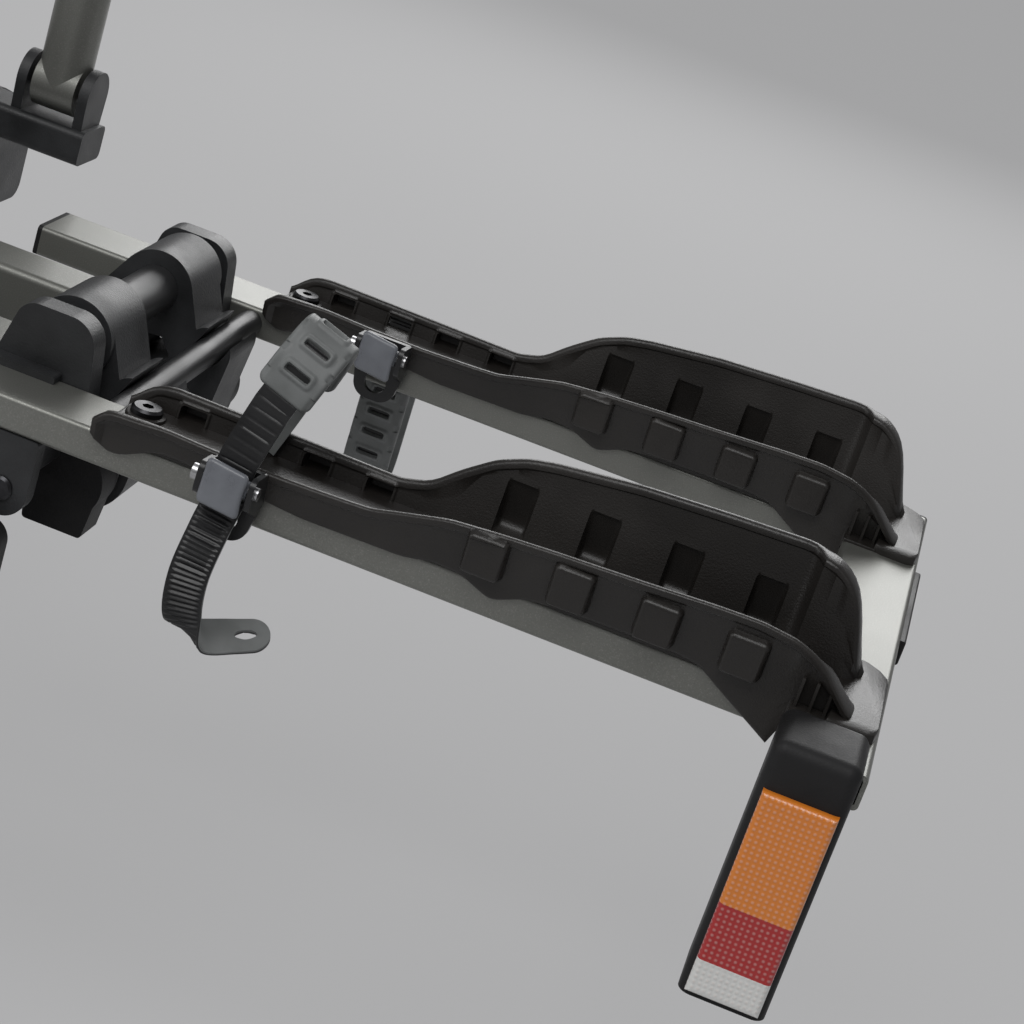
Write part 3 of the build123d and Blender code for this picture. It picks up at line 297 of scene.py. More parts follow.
def level(points, x):
    # Height over x through the points, rounded at the corners
    shifts = (-3.0, -1.5, 0.0, 1.5, 3.0)
    total = 0.0
    for shift in shifts:
        at = x + shift
        height = points[0][1] if at < points[0][0] else points[-1][1]
        for (x0, h0), (x1, h1) in zip(points, points[1:]):
            if x0 <= at <= x1:
                height = h0 + (h1 - h0) * (at - x0) / (x1 - x0)
        total += height
    return total / len(shifts)


def roundedDepth(a, b, a0, a1, b0, b1, corner):
    # How far a point lies inside a rounded rectangle
    da = abs(a - (a0 + a1) / 2) - ((a1 - a0) / 2 - corner)
    db = abs(b - (b0 + b1) / 2) - ((b1 - b0) / 2 - corner)
    return corner - sqrt(max(da, 0.0) ** 2 + max(db, 0.0) ** 2) - min(max(da, db), 0.0)


def pulledIn(a, b, a0, a1, b0, b1, corner):
    # A point beyond a rounded corner moves onto the corner
    core = Vector((clamp(a, a0 + corner, a1 - corner), clamp(b, b0 + corner, b1 - corner)))
    away = Vector((a, b)) - core
    return core + away * min(1.0, corner / max(away.length, 0.0001))


def rectangle(x0, y0, x1, y1):
    return [(x0, y0), (x1, y0), (x1, y1), (x0, y1)]


def oval(x, y, halfLong, halfWide, count):
    return [(x + halfLong * cos(2 * pi * i / count), y + halfWide * sin(2 * pi * i / count))
            for i in range(count)]


def gridFaces(bm, columns, thin, turn):
    # Quads between neighbouring columns of vertices, but none where the shell has no thickness
    for i in range(len(columns) - 1):
        for j in range(len(columns[i]) - 1):
            if thin[i][j] and thin[i + 1][j] and thin[i][j + 1] and thin[i + 1][j + 1]:
                continue
            ring = [columns[i][j], columns[i + 1][j], columns[i + 1][j + 1], columns[i][j + 1]]
            bm.faces.new(ring[::turn])


def closedShell(bm, front, back):
    # Two sheets of points, the front and back face of a shell that ends where they meet
    touching = 0.001
    thin = [[(Vector(a) - Vector(b)).length < touching for a, b in zip(*pair)] for pair in zip(front, back)]
    sheets = []
    for sheet, turn in ((front, 1), (back, -1)):
        sheets.append([[bm.verts.new(point) for point in column] for column in sheet])
        gridFaces(bm, sheets[-1], thin, turn)
    return sheets, thin


def closedRings(bm, rings):
    # Rings of points joined one to the next, with a face on each end
    rings = [[bm.verts.new(point) for point in ring] for ring in rings]
    for lower, upper in zip(rings, rings[1:]):
        for i in range(len(lower)):
            j = (i + 1) % len(lower)
            bm.faces.new((lower[i], lower[j], upper[j], upper[i]))
    bm.faces.new(list(reversed(rings[0])))
    bm.faces.new(rings[-1])


def inMetres(point):
    # From mm at the right rear rail to metres in the carrier's own frame
    return Vector([(value + start) / 1000 for value, start in zip(point, home)])


def shaded(mesh, sharp):
    for polygon in mesh.polygons:
        polygon.use_smooth = True
    mesh.set_sharp_from_angle(angle=radians(sharp))
    return mesh


sharpEdge = 42


def finished(bm, name):
    # One welded mesh in metres
    weld = 0.02
    bmesh.ops.remove_doubles(bm, verts=bm.verts, dist=weld)
    bmesh.ops.dissolve_degenerate(bm, edges=bm.edges, dist=weld / 4)
    bmesh.ops.recalc_face_normals(bm, faces=bm.faces)
    for vert in bm.verts:
        vert.co = inMetres(vert.co)
    mesh = bpy.data.meshes.new(name)
    bm.to_mesh(mesh)
    bm.free()
    return shaded(mesh, sharpEdge)


def cutAway(mesh, cutter, sharp, crossing=False):
    # The mesh without what lies in the cutter; crossing is for a mesh of shells that cross each other
    knife = bpy.data.meshes.new("knife")
    cutter.to_mesh(knife)
    cutter.free()
    thing = bpy.data.objects.new("draft", mesh)
    tool = bpy.data.objects.new("knife", knife)
    for item in (thing, tool):
        bpy.context.scene.collection.objects.link(item)
    cut = thing.modifiers.new("cut", "BOOLEAN")
    cut.operation = "DIFFERENCE"
    cut.solver = "EXACT"
    cut.use_self = crossing
    cut.object = tool
    done = bpy.data.meshes.new_from_object(thing.evaluated_get(bpy.context.evaluated_depsgraph_get()))
    bpy.data.objects.remove(thing)
    bpy.data.objects.remove(tool)
    return shaded(done, sharp)


bothRails = [("rear", 0.0), ("front", railSpacing)]


def placed(mesh, name, forward, left):
    # A copy of the mesh, moved forward to its rail and mirrored for the left
    copy = mesh.copy()
    copy.name = name
    side = -1.0 if left else 1.0
    moved = Matrix.Translation((0.0, forward / 1000, 0.0))
    copy.transform(Matrix.Diagonal((side, 1.0, 1.0, 1.0)) @ moved)
    if left:
        copy.flip_normals()
    thing = bpy.data.objects.new(name, copy)
    bpy.context.scene.collection.objects.link(thing)
    return thing


def carried(mesh, title, places, slotName, node, body="wheel_frame"):
    # The same piece on the right and the left of each of its rails
    for where, forward in places:
        for side in ("right", "left"):
            label = title + where.capitalize() + side.capitalize()
            thing = placed(mesh, label, forward, side == "left")
            dress(thing, slotName)
            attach(thing, body.format(where=where) + "_" + side)
            if node:
                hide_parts(node.format(where=where) + "_" + side)


# Wheel tray: x runs outwards along the rail; the near wall is the low one, the far wall the tall one.
# A span gives its two ends and how softly it begins and stops; rows give the heights at its two edges.
tray = {"inner": -155.0, "outer": 199.0, "step": 3.0, "rampFoot": (172.4, 172.6),
        "foot": 22.9, "thick": 2.6, "flare": 0.22, "rim": 1.7,
        "lip": 4.0, "lipOut": 1.1, "lipIn": 0.8, "endLip": 2.0, "hornOut": 4.0, "endThick": 9.0,
        "blocks": [19.75 + 39.4 * i for i in range(4)], "blockWide": 19.3, "blockDeep": 8.6,
        "blockFoot": 4.0, "blockWall": 2.2, "blockRound": 2.2, "blockSlope": 0.42,
        "blockSpan": (2, 166, 12, 10), "blockRows": (3.4, 0.6),
        "pockets": [-124.0, -63.0, -32.0], "strapSlot": -91.0, "slotHalf": 6.4, "slotLow": 2.7,
        "slotHigh": 9.6, "slotRim": 1.9, "slotDeep": 7.0, "strapRim": 1.2, "slotBack": 1.1,
        "slotSpan": (-150, -8, 10, 10), "slotRows": (0.6, 10.6),
        "strapCut": (13.0, 14.0, 6.8), "cutAt": (25.0, 6.2)}
nearWall = {
    "tall": False, "blockTop": 24.3,
    "top": [(-155, 5), (-154, 9), (-151, 12.6), (-147, 14), (-128, 14.9), (-100, 13.6), (-66, 13.0),
            (-38, 14.0), (-24, 14.8), (-11, 18.5), (10, 24), (33, 26.3), (59, 28), (95, 29.8), (130, 32),
            (150, 32.6), (167, 30.4), (176, 26.5), (183, 21.5), (190, 14.5), (195, 9.5), (199, 5.6)],
    "low": [(-155, 1.5), (-153, -2.5), (-149, -5.6), (-144, -7), (-138, -5.6), (-131, -2), (-122, 1.6),
            (-107, 1.2), (-53, -3.2), (-6, -2.6), (7, 0.2), (21, -0.4), (30, -4), (36, -6.6), (43, -4),
            (50, -0.6), (67, 1.4), (95, 2), (120, 1.8), (131, 0.4), (139, -4.6), (147, -9.4),
            (157, -15.2), (166, -20.4), (171, -23.5), (172.4, -24), (172.6, 0.2), (199, 0.2)]}
farWall = {
    "tall": True, "blockTop": 33.0,
    "top": [(-155, 3.5), (-150, 9), (-144, 13.5), (-136, 15), (-100, 14.6), (-24, 13.6), (-11, 17),
            (0, 26.5), (14, 36.5), (28, 42), (41, 44.4), (79, 48.6), (123, 51), (157, 52.3), (172, 50.5),
            (180, 46), (186, 39), (191, 27), (195, 14), (199, 5)],
    "low": [(-155, -1), (-150, -6), (172.4, -6), (172.6, 0.2), (199, 0.2)]}


def trayColumns():
    # Places along the tray, closer together at its ends, blocks and slots
    places = {tray["inner"], tray["outer"], *tray["rampFoot"]}
    x = tray["inner"]
    while x < tray["outer"]:
        places.add(round(x, 3))
        x += tray["step"]
    for edge in (0.2, 0.5, 0.9, 1.4, 2.0):
        places.update((tray["inner"] + edge, tray["outer"] - edge))
    spans = [(block + inset, block + tray["blockWide"] - inset)
             for block in tray["blocks"] for inset in (0.0, tray["blockWall"])]
    spans += [(middle - half, middle + half) for middle in tray["pockets"] + [tray["strapSlot"]]
              for half in (tray["slotHalf"] + tray["slotRim"], tray["slotHalf"])]
    for low, high in spans:
        for edge in (-0.1, 0.12, 0.45, 1.0, 1.7, 2.5):
            places.update((low + edge, high - edge))
    ordered = sorted(places)
    return [x for i, x in enumerate(ordered) if i == 0 or x - ordered[i - 1] > 0.06]


def wallRows(wall, x, high, deep):
    # Heights of the points at x, closer together at the edges of the wall and of its blocks and slots
    lowEdge = (0.0, 0.15, 0.5, 1.1, 2.0)
    shares = (0.0, 0.035, 0.055, 0.085, 0.12, 0.17, 0.25, 0.38, 0.5, 0.62, 0.75, 0.83, 0.88, 0.915, 0.945,
              0.965, 1.0)
    highEdge = (4.8, 4.4, 4.1, 3.8, 3.2, 2.4, 1.6, 1.0, 0.5, 0.15, 0.0)
    foot, beyond = tray["blockRows"]
    inBlocks = within(x, *tray["blockSpan"])
    start = (deep + (high - deep) * 0.3) * (1 - inBlocks) + foot * inBlocks
    stop = (deep + (high - deep) * 0.62) * (1 - inBlocks) + (wall["blockTop"] + beyond) * inBlocks
    stop = min(stop, high - highEdge[0] * clamp((high - deep) / 14))
    start = min(start, stop - 0.5)
    if wall["tall"]:
        foot, top = tray["slotRows"]
        inSlots = within(x, *tray["slotSpan"])
        start, stop = start * (1 - inSlots) + foot * inSlots, stop * (1 - inSlots) + top * inSlots
        stop = min(stop, high - 2.0)
    rows = [deep + gap for gap in lowEdge if deep + gap < start]
    while len(rows) < len(lowEdge):
        rows.append(rows[-1])
    rows += [start * (1 - share) + stop * share for share in shares]
    return rows + [max(stop, high - gap) for gap in highEdge]


def blockFaces(wall, x, z):
    # How far the square blocks stand out, and how far their hollows reach in from inside
    outwards = inwards = 0.0
    top, wide, inset = wall["blockTop"], tray["blockWide"], tray["blockWall"]
    if wall["tall"]:
        deep = min(tray["blockDeep"], (top - z) * tray["blockSlope"])
    else:
        deep = tray["blockDeep"] - tray["flare"] * max(z, 0.0)
    for block in tray["blocks"]:
        depth = roundedDepth(x, z, block, block + wide, tray["blockFoot"], top, 3.0)
        outwards += deep * quarter(depth / tray["blockRound"]) if depth > 0 else 0.0
        depth = roundedDepth(x, z, block + inset, block + wide - inset,
                             tray["blockFoot"] + 2.0, top - 2.0, 2.0)
        inwards += deep * quarter(depth / tray["blockRound"]) if depth > 0 else 0.0
    return outwards, inwards


def slotFaces(x, z):
    # Raised frames around the slots of the tall wall, and its blind pockets
    outwards = inwards = 0.0
    half, low, high, rim = tray["slotHalf"], tray["slotLow"], tray["slotHigh"], tray["slotRim"]
    for middle in tray["pockets"] + [tray["strapSlot"]]:
        pocket = middle != tray["strapSlot"]
        border = roundedDepth(x, z, middle - half - rim, middle + half + rim, low - rim, high + rim, 2.4)
        hole = roundedDepth(x, z, middle - half, middle + half, low, high, 1.6)
        if border > 0:
            outwards += (tray["slotDeep"] if pocket else tray["strapRim"]) * quarter(border / 1.4)
            inwards -= tray["slotBack"] * soft(border / 0.9)
        if hole > 0 and pocket:
            inwards += (tray["slotDeep"] + tray["slotBack"]) * quarter(hole / 1.0)
    return outwards, inwards


def wallFaces(wall, x, z, high, deep, slope):
    # How far the wall's outer and inner face stand from the tray's middle line
    tall = wall["tall"]
    lean = tray["foot"] + tray["flare"] * max(z, 0.0)
    out, into = lean, lean - tray["thick"]
    lip = (high - z) * slope
    if not tall and z > -3:  # the near wall's lip goes down its inner end
        lip = min(lip, x - tray["inner"])
    bead = soft((tray["lip"] + 0.5 - lip) / 0.9) * (soft((x + 150) / 14) if tall else 1.0)
    out += (tray["lipOut"] + (0.0 if tall else tray["endLip"] * soft((-118 - x) / 14))) * bead
    into -= tray["lipIn"] * bead
    outwards, inwards = blockFaces(wall, x, z)
    out, into = out + outwards, into + inwards
    if tall:
        into -= tray["endThick"] * soft((x - 161) / 6) * soft((z + 3) / 4) * quarter((197 - x) / 7)
        outwards, inwards = slotFaces(x, z)
        out, into = out + outwards, into + inwards
    else:
        into -= tray["endThick"] * soft((x - 172) / 12) * soft((27 - z) / 10)
        out += tray["hornOut"] * soft((x - 177) / 20) * bead
    edge = min((high - z) * slope, z - deep, x - tray["inner"], tray["outer"] - x)
    middle, half = (out + into) / 2, (out - into) / 2 * quarter(edge / tray["rim"])
    return middle + half, middle - half


def trayWall(bm, wall):
    side = -1.0 if wall["tall"] else 1.0
    front, back = [], []
    for x in trayColumns():
        high, deep = level(wall["top"], x), level(wall["low"], x)
        slope = cos(atan2(level(wall["top"], x + 1) - level(wall["top"], x - 1), 2.0))
        outer, inner = [], []
        for z in wallRows(wall, x, high, deep):
            out, into = wallFaces(wall, x, z, high, deep, slope)
            outer.append((x, -side * out, z))
            inner.append((x, -side * into, z))
        front.append(outer)
        back.append(inner)
    closedShell(bm, front, back)


def slab(bm, outline, low, high, edge):
    # A flat plate with rounded upper edges
    middle = Vector((sum(a for a, b in outline) / len(outline), sum(b for a, b in outline) / len(outline)))
    rings = []
    for inset, z in ((0.0, low), (0.0, high - edge), (edge * 0.3, high - edge * 0.3), (edge, high)):
        pulls = [(Vector(point) - middle).normalized() * inset for point in outline]
        rings.append([(a - pull.x, b - pull.y, z) for (a, b), pull in zip(outline, pulls)])
    closedRings(bm, rings)


def trayMesh():
    bm = bmesh.new()
    trayWall(bm, nearWall)
    trayWall(bm, farWall)
    slab(bm, rectangle(-153, -21.4, 198.5, 21.4), 0.02, 3.0, 0.4)  # floor
    slab(bm, [(189, -34), (193, -36), (207, -36), (210.4, -33.6), (211.6, -28), (211.6, 26), (210.4, 33),
              (206.5, 39), (200, 43.5), (193, 45), (189, 43)], 0.02, 4.8, 2.4)  # cap on the frame's corner
    slab(bm, rectangle(172.9, -35, 190, -21.6), 0.04, 1.4, 0.5)  # ledge below the thin upright ribs
    for x in (174.0, 180.5, 187.0):
        slab(bm, rectangle(x, -28.6, x + 1.3, -21.5), 1.0, 15.0, 0.5)
    slab(bm, oval(-142, 9, 9.5, 9.5, 26), 2.0, 4.6, 0.8)  # boss at the inner end
    mesh = finished(bm, "tray")
    cutter = bmesh.new()
    spot = inMetres((tray["strapSlot"], *tray["cutAt"]))
    size = Matrix.Diagonal([value / 1000 for value in tray["strapCut"]] + [1.0])
    bmesh.ops.create_cube(cutter, size=1.0, matrix=Matrix.Translation(spot) @ size)
    along = [edge for edge in cutter.edges if abs((edge.verts[0].co - edge.verts[1].co).y) > 0.01]
    bmesh.ops.bevel(cutter, geom=along, offset=0.0016, segments=3, affect="EDGES", profile=0.5)
    return cutAway(mesh, cutter, sharpEdge, crossing=True)


carried(trayMesh(), "tray", bothRails, "tray_plastic", "tray_{where}")
print("trays made")


# A flat route: straight runs and arcs through its corners, as points a step apart
def rounded(points, radii, step):
    points = [Vector(point) for point in points]
    marks = [points[0]]
    for i, radius in enumerate(radii, 1):
        start, end, centre = bend(*points[i - 1:i + 2], radius)
        marks += line(marks[-1], start, step)[1:]
        marks += arc(start, end, centre, step)[1:]
    return marks + line(marks[-1], points[-1], step)[1:]


def line(start, end, step):
    count = max(1, round((end - start).length / step))
    return [start.lerp(end, i / count) for i in range(count + 1)]


def bend(before, corner, after, radius):
    # Start, end and centre of the arc that rounds a corner
    back, on = (before - corner).normalized(), (after - corner).normalized()
    half = back.angle(on) / 2
    reach = radius / (sin(half) / cos(half))
    centre = corner + (back + on).normalized() * (radius / sin(half))
    return corner + back * reach, corner + on * reach, centre


def arc(start, end, centre, step):
    a, b = start - centre, end - centre
    turn = a.angle(b)
    count = max(2, round(a.length * turn / step))
    return [centre + (a * sin(turn * (1 - i / count)) + b * sin(turn * i / count)) / sin(turn)
            for i in range(count + 1)]


def inPlane(marks, route):
    # Sections of a flat route: the marks' first coordinate along +y, the other along its second direction
    start, second = Vector(route["origin"]), Vector(route["second"])
    places = [start + Vector((0, mark.x, 0)) + second * mark.y for mark in marks]
    return sections(places, [Vector(route["across"])] * len(places))


def sections(places, acrosses):
    # For each place: its width direction, its outward direction and the travel up to it
    rows, travelled = [], 0.0
    for i, place in enumerate(places):
        run = (places[min(i + 1, len(places) - 1)] - places[max(i - 1, 0)]).normalized()
        side = (acrosses[i] - run * acrosses[i].dot(run)).normalized()
        travelled += (place - places[i - 1]).length if i else 0.0
        rows.append((place, side, run.cross(side), travelled))
    return rows


def smoothed(values, i, t):
    # The value at t between one and the next, on a smooth curve through them all
    before, here, after = values[max(i - 1, 0)], values[i], values[i + 1]
    beyond = values[min(i + 2, len(values) - 1)]
    return (here + (after - before) * (t / 2) + (before - here * 2.5 + after * 2 - beyond / 2) * t ** 2
            + (here * 1.5 - before / 2 - after * 1.5 + beyond / 2) * t ** 3)


def stripMesh(bm, rows, columns, upper, lower, half, corner=0.0):
    # A closed strip: its faces' heights change with travel and place across, its half width with travel
    front, back = [], []
    for place, side, out, travelled in rows:
        run = side.cross(out)
        outer, inner = [], []
        for share in columns:
            t, w = travelled, share * half(travelled)
            if corner:
                t, w = pulledIn(t, w, 0, rows[-1][3], -half(t), half(t), corner)
            at = place + side * w + run * (t - travelled)
            outer.append(at + out * upper(t, w))
            inner.append(at + out * lower(t, w))
        front.append(outer)
        back.append(inner)
    sheets, thin = closedShell(bm, front, back)
    rim = [((end, j), (end, j + 1)) for end in (0, len(rows) - 1) for j in range(len(columns) - 1)]
    rim += [((i, edge), (i + 1, edge)) for edge in (0, len(columns) - 1) for i in range(len(rows) - 1)]
    for (a, b), (c, d) in rim:
        if not (thin[a][b] and thin[c][d]):
            bm.faces.new((sheets[0][a][b], sheets[0][c][d], sheets[1][c][d], sheets[1][a][b]))


# Routes of the straps: the rear one is closed in a loop, the front one hangs open
loop = {"origin": (-91.0, 0.0, 6.5), "second": (sin(radians(19)), 0.0, cos(radians(19))),
        "across": (cos(radians(19)), 0.0, -sin(radians(19))),
        "points": [(19.5, 0), (20.5, 20), (12, 63), (-4, 76), (-19, 58), (-25, 38)],
        "radii": [40, 16, 12, 16],
        "pad": [(16.1, 42.3), (12, 63), (-4, 76), (-19, 58), (-23.5, 43)], "padRadii": [16, 12, 16]}
hang = {"origin": (-91.0, 0.0, 6.5), "second": (0.0, 0.0, 1.0), "across": (1.0, 0.0, 0.0),
        "points": [(28, 0), (39, 0), (45, -120), (89, -118), (84, -22)], "radii": [9, 22, 20],
        "pad": [(40, -20), (43.85, -97)], "padRadii": []}

# The buckle's axle, and the closed strap's tail: offset from the axle, and the strap's width direction
axle = Vector((-84.5, -41.0, 8.0))
tail = [((0, 7.2, 8), (1, 0, -0.02)), ((0, 6.8, -4), (1, 0, 0)), ((-2.5, 0, -24), (1, 0, -0.06)),
        ((-4, -6, -46), (1, 0.02, -0.1)), ((-1.5, -5, -66), (1, 0, -0.22)),
        ((5.5, 2.5, -74), (0.85, -0.35, -0.4)), ((18.5, 11, -72.5), (0.55, -0.72, -0.42)),
        ((33.5, 17, -68), (0.5, -0.8, -0.33))]

# Strap: a black face with fine lines, then ribs, a smooth grey one inside, and an eye near its end
strap = {"half": 9.0, "thick": 1.0, "rim": 0.9, "round": 8.0, "tip": 0.4, "sharp": 35,
         "line": 5.0, "lineDeep": 0.3, "rib": 2.4, "ribHigh": 0.8, "ribSink": 0.3, "ribsFrom": 34.0,
         "frontRibs": 0.42, "plainEnd": 20, "eye": 11.0, "eyeLong": 5.0, "eyeWide": 2.6, "eyeRim": 0.5,
         "root": [((-96.5, 18.5, 5.5), (-85.5, 27.2, 7.5)), ((-100, 27, 1), (-82, 29, 12))]}


def tailRoute():
    # From the loop's end through the buckle to the loose end
    y, up = loop["points"][-1]
    start = Vector(loop["origin"]) + Vector((0, y, 0)) + Vector(loop["second"]) * up
    places = [start] + [axle + Vector(offset) for offset, across in tail]
    acrosses = [Vector(loop["across"])] + [Vector(across) for offset, across in tail]
    fine = [(i, t / 50) for i in range(len(places) - 1) for t in range(50)] + [(len(places) - 2, 1.0)]
    return [smoothed(places, i, t) for i, t in fine], [smoothed(acrosses, i, t) for i, t in fine]


def strapRows(where):
    # The strap's sections, and the travel at which its ribs begin
    route = loop if where == "rear" else hang
    rows = inPlane(rounded(route["points"], route["radii"], 0.4), route)
    if where == "front":
        return rows, rows[-1][3] * strap["frontRibs"]
    places, acrosses = tailRoute()
    looped = [row[0] for row in rows[:-1]]
    rows = sections(looped + places, [Vector(loop["across"])] * len(looped) + acrosses)
    return rows, rows[len(looped)][3] + strap["ribsFrom"]


def strapMesh(where, layer):
    rows, ribsFrom = strapRows(where)
    end = rows[-1][3]
    columns = [-1, -0.97, -0.9, -0.82, -0.6, -0.3, 0, 0.3, 0.6, 0.82, 0.9, 0.97, 1]

    def half(travelled):
        return max(strap["half"] * quarter((end - travelled) / strap["round"]), strap["tip"])

    def eyeRim(travelled, across):
        along = (travelled - end + strap["eye"]) / strap["eyeLong"]
        away = sqrt(along ** 2 + (across / strap["eyeWide"]) ** 2)
        return strap["eyeRim"] * soft(1 - abs(away - 1.25) / 0.3)

    def upper(travelled, across):
        edge = soft((half(travelled) - abs(across) - strap["rim"]) / 0.8)
        lines = exp(-((travelled % strap["line"] - strap["line"] / 2) ** 2) / 0.1)
        wave = 0.5 + 0.5 * cos(2 * pi * travelled / strap["rib"])
        ribbed = soft((travelled - ribsFrom) / 3) * soft((end - strap["plainEnd"] - travelled) / 3)
        return (strap["thick"] - strap["lineDeep"] * lines * edge * (1 - ribbed)
                + (strap["ribHigh"] * wave - strap["ribSink"]) * edge * ribbed + eyeRim(travelled, across))

    bm = bmesh.new()
    if layer == "Face":
        stripMesh(bm, rows, columns, upper, lambda t, w: 0.0, half)
        if where == "rear":
            strapRoot(bm)
    else:
        stripMesh(bm, rows[::3] + [rows[-1]], columns, lambda t, w: -0.02,
                  lambda t, w: -strap["thick"] - eyeRim(t, w), half)
    return withEye(finished(bm, "strap" + layer), rows, end - strap["eye"])


def strapRoot(bm):
    # Tongue through the slot and its head outside the tall wall
    for low, high in strap["root"]:
        made = bmesh.ops.create_cube(bm, size=1.0)["verts"]
        for vert in made:
            vert.co = Vector([(a + b) / 2 + c * (b - a) for a, b, c in zip(low, high, vert.co)])


def withEye(mesh, rows, eyeAt):
    # Cuts the oval eye near the loose end
    place, side, out, travelled = min(rows, key=lambda row: abs(row[3] - eyeAt))
    run = side.cross(out)
    outline = oval(0.0, 0.0, strap["eyeLong"], strap["eyeWide"], 32)
    cutter = bmesh.new()
    closedRings(cutter, [[(place + run * a + side * b + out * height + home) / 1000 for a, b in outline]
                         for height in (-4.0, 4.0)])
    bmesh.ops.recalc_face_normals(cutter, faces=cutter.faces)
    return cutAway(mesh, cutter, strap["sharp"])


for rail in bothRails:
    for layer, slotName, node in (("Face", "strap_black", "strap_{where}"), ("Inside", "pad_grey", "")):
        carried(strapMesh(rail[0], layer), "strap" + layer, [rail], slotName, node)
print("straps made")


# Rim pad: a sleeve with oblong slots across it, each in a raised frame
pad = {"half": 13.5, "core": -0.4, "base": 2.5, "top": 3.7, "back": -3.6, "round": 1.6, "corner": 4.0,
       "slot": 1.9, "slotHalf": 6.6, "slotFloor": 0.5, "frame": 2.2, "pitch": 12.6, "count": 5,
       "notch": 1.3, "notchFrom": 10.6, "notchGap": 0.36}


def padMesh(route):
    rows = inPlane(rounded(route["pad"], route["padRadii"], 0.45), route)
    length = rows[-1][3]
    middles = [length / 2 + (i - (pad["count"] - 1) / 2) * pad["pitch"] for i in range(pad["count"])]
    slot, wide, border = pad["slot"], pad["slotHalf"], pad["frame"]

    def roundness(travelled, across):
        edge = roundedDepth(travelled, across, 0, length, -pad["half"], pad["half"], pad["corner"])
        return quarter(edge / pad["round"])

    def upper(travelled, across):
        near = min(middles, key=lambda middle: abs(middle - travelled))
        framed = roundedDepth(travelled, across, near - slot - border, near + slot + border,
                              -wide - border, wide + border, 2.6)
        hole = roundedDepth(travelled, across, near - slot, near + slot, -wide, wide, 1.6)
        high = pad["base"] + (pad["top"] - pad["base"]) * clamp(framed / 1.3)
        if hole > 0:
            high -= (pad["top"] - pad["slotFloor"]) * soft(hole / 0.8)
        if abs(travelled - near) > pad["pitch"] * pad["notchGap"]:
            high -= pad["notch"] * soft((abs(across) - pad["notchFrom"]) / 1.5)
        return pad["core"] + (high - pad["core"]) * roundness(travelled, across)

    def lower(travelled, across):
        return pad["core"] + (pad["back"] - pad["core"]) * roundness(travelled, across)

    columns = [x / pad["half"] for x in (-13.5, -13.3, -12.9, -12.3, -11.7, -11.0, -10.2, -9.0, -8.6, -8.0,
                                         -7.4, -6.8, -6.5, -6.1, -5.7, -4.6, -2.3, 0.0)]
    columns += [-x for x in reversed(columns[:-1])]
    bm = bmesh.new()
    stripMesh(bm, rows, columns, upper, lower, lambda travelled: pad["half"], pad["corner"])
    return finished(bm, "pad")


for rail, route in zip(bothRails, (loop, hang)):
    carried(padMesh(route), "rimPad", [rail], "pad_grey", "rim_pads")
print("rim pads made")


# Buckle lever: a crowned plate with rounded corners, on its hub
lever = {"corners": [(-94.6, 18.8), (-74.4, 16.2), (-74.3, -3.6), (-94.6, -1.5)], "face": -48.4,
         "lean": 0.139, "thick": 3.4, "corner": 0.13, "edge": 0.07, "crown": 0.7, "waist": 0.9,
         "hub": 4.2, "hubHalf": 10.0, "hubEdge": 0.5, "steps": 26}


def leverMesh():
    shares = sorted({round(0.5 - 0.5 * cos(pi * i / lever["steps"]), 5) for i in range(lever["steps"] + 1)})
    topLeft, topRight, lowRight, lowLeft = [Vector(corner) for corner in lever["corners"]]
    front, back = [], []
    for share in shares:
        outer, inner = [], []
        for other in shares:
            u, w = pulledIn(share, other, 0, 1, 0, 1, lever["corner"])
            spot = topLeft.lerp(topRight, u).lerp(lowLeft.lerp(lowRight, u), w)
            spot.x -= lever["waist"] * soft(u * 3 - 2) * sin(pi * w)
            roundness = quarter(roundedDepth(u, w, 0, 1, 0, 1, lever["corner"]) / lever["edge"])
            y = lever["face"] + (spot.y - axle.z) * lever["lean"]
            crown = lever["crown"] * sin(pi * u) * sin(pi * w)
            middle = y + lever["thick"] / 2
            outer.append((spot.x, middle - (lever["thick"] / 2 + crown) * roundness, spot.y))
            inner.append((spot.x, middle + lever["thick"] / 2 * roundness, spot.y))
        front.append(outer)
        back.append(inner)
    bm = bmesh.new()
    closedShell(bm, front, back)
    half, hub, edge = lever["hubHalf"], lever["hub"], lever["hubEdge"]
    rings = []
    for x, radius in ((-half, hub - edge), (-half + edge, hub), (half - edge, hub), (half, hub - edge)):
        rings.append([(axle.x + x, y, z) for y, z in oval(axle.y, axle.z, radius, radius, 28)])
    closedRings(bm, rings)
    return finished(bm, "lever")


carried(leverMesh(), "lever", bothRails, "buckle_grey", "buckle_lever_{where}", "buckle_{where}")
print("buckle levers made")


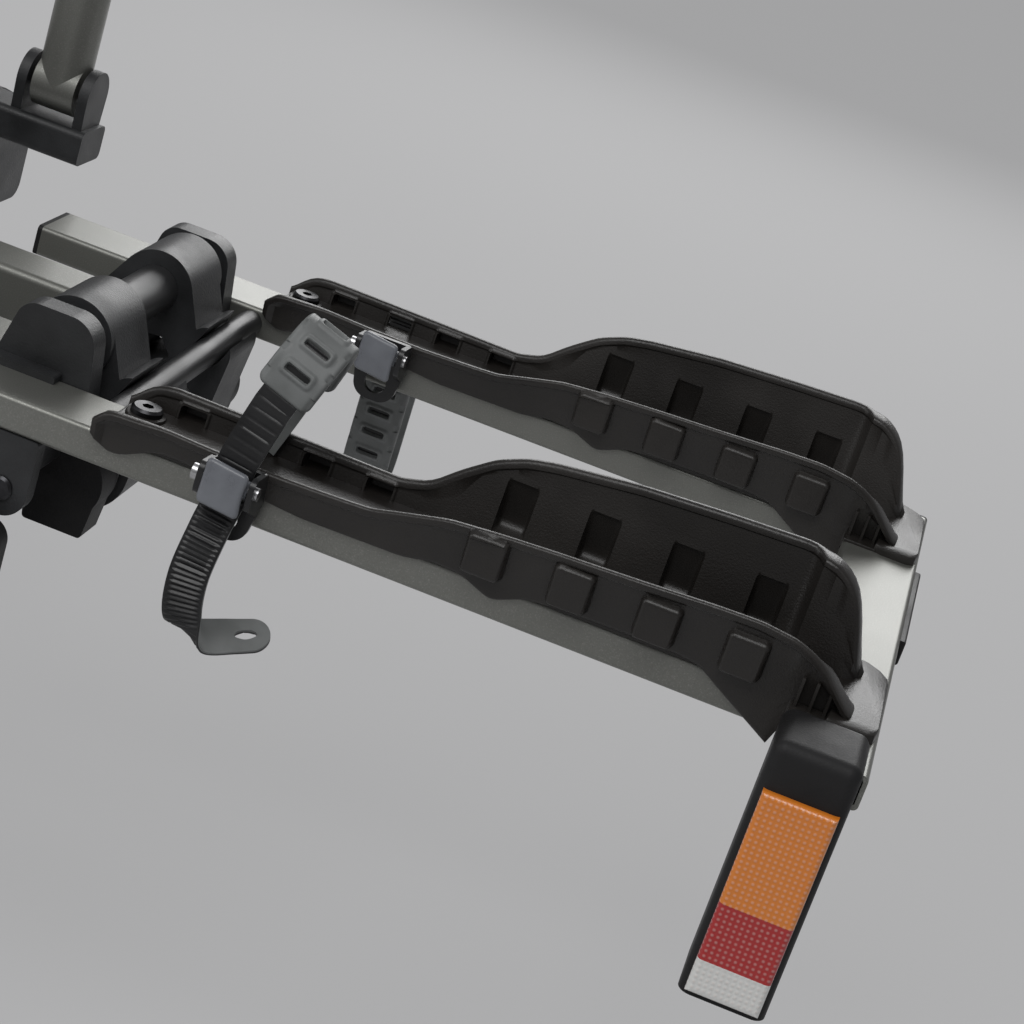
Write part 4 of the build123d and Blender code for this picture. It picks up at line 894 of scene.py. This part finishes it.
# Studio: pale floor, soft lamps, plain light-grey surroundings
def studio():
    s = {"floorZ": -0.30, "floorSize": 60.0, "backdrop": (0.55, 0.55, 0.555), "floorRough": 0.9,
         "sky": (0.62, 0.62, 0.63), "skyLevel": 0.4, "grey": (0.44, 0.44, 0.445), "plain": 0.72}
    # Each lamp's place, aim, size and power
    lamps = {"key": ((0.1, -2.1, 2.6), (0.4, -0.3, 0.0), 2.0, 42.0),
             "fill": ((-1.9, -1.6, 1.2), (0.2, -0.3, 0.0), 1.6, 12.0),
             "back": ((0.3, 2.3, 1.35), (0.4, -0.3, 0.0), 2.0, 38.0)}
    bpy.ops.mesh.primitive_plane_add(size=s["floorSize"], location=(0.0, 0.0, s["floorZ"]))
    ground = bpy.context.object
    ground.name = "floor"
    r = Recipe("floor")
    r.set(Base_Color=tint(*s["backdrop"]), Roughness=s["floorRough"])
    lit = Wire(r, r.shader.outputs[0])
    seen = r.add("ShaderNodeLightPath", out="Is Camera Ray")
    glow = r.add("ShaderNodeEmission", {}, {"Color": tint(*s["grey"])})
    r.close(r.add("ShaderNodeMixShader", {}, {0: seen * s["plain"], 1: lit, 2: glow}))
    ground.data.materials.append(r.material)
    world = bpy.data.worlds.new("studio")
    bpy.context.scene.world = world
    world.use_nodes = True
    nodes, links = world.node_tree.nodes, world.node_tree.links
    sky, plain = nodes["Background"], nodes.new("ShaderNodeBackground")
    sky.inputs[0].default_value = tint(*s["sky"])
    sky.inputs[1].default_value = s["skyLevel"]
    plain.inputs[0].default_value = tint(*s["grey"])
    path, mix = nodes.new("ShaderNodeLightPath"), nodes.new("ShaderNodeMixShader")
    links.new(path.outputs["Is Camera Ray"], mix.inputs[0])
    links.new(sky.outputs[0], mix.inputs[1])
    links.new(plain.outputs[0], mix.inputs[2])
    links.new(mix.outputs[0], nodes["World Output"].inputs[0])
    for name, (place, aim, size, power) in lamps.items():
        light = bpy.data.lights.new(name, "AREA")
        light.size = size
        light.energy = power
        lamp = bpy.data.objects.new(name, light)
        bpy.context.scene.collection.objects.link(lamp)
        lamp.visible_camera = False
        lamp.location = place
        lamp.rotation_euler = (Vector(aim) - Vector(place)).to_track_quat("-Z", "Y").to_euler()


# Camera: its place in mm from the same point as the trays, and its own three directions
def viewFinder():
    s = {"spot": (149.27, -979.68, 405.6), "right": (0.92752, 0.22683, 0.29708),
         "down": (0.35664, -0.29915, -0.88505), "ahead": (-0.11188, 0.92685, -0.35837),
         "lens": 85.08, "sensor": 36.0, "near": 0.01}
    data = bpy.data.cameras.new("photo")
    data.lens = s["lens"]
    data.sensor_width = s["sensor"]
    data.sensor_fit = "HORIZONTAL"
    data.clip_start = s["near"]
    camera = bpy.data.objects.new("photo", data)
    bpy.context.scene.collection.objects.link(camera)
    right, down, ahead = [Vector(s[key]) for key in ("right", "down", "ahead")]
    turn = Matrix((right, -down, -ahead)).transposed()
    camera.matrix_world = Matrix.Translation((Vector(s["spot"]) + home) / 1000) @ turn.to_4x4()
    bpy.context.scene.camera = camera


studio()
viewFinder()
bpy.context.scene.view_settings.view_transform = "Standard"
print("studio and camera set")
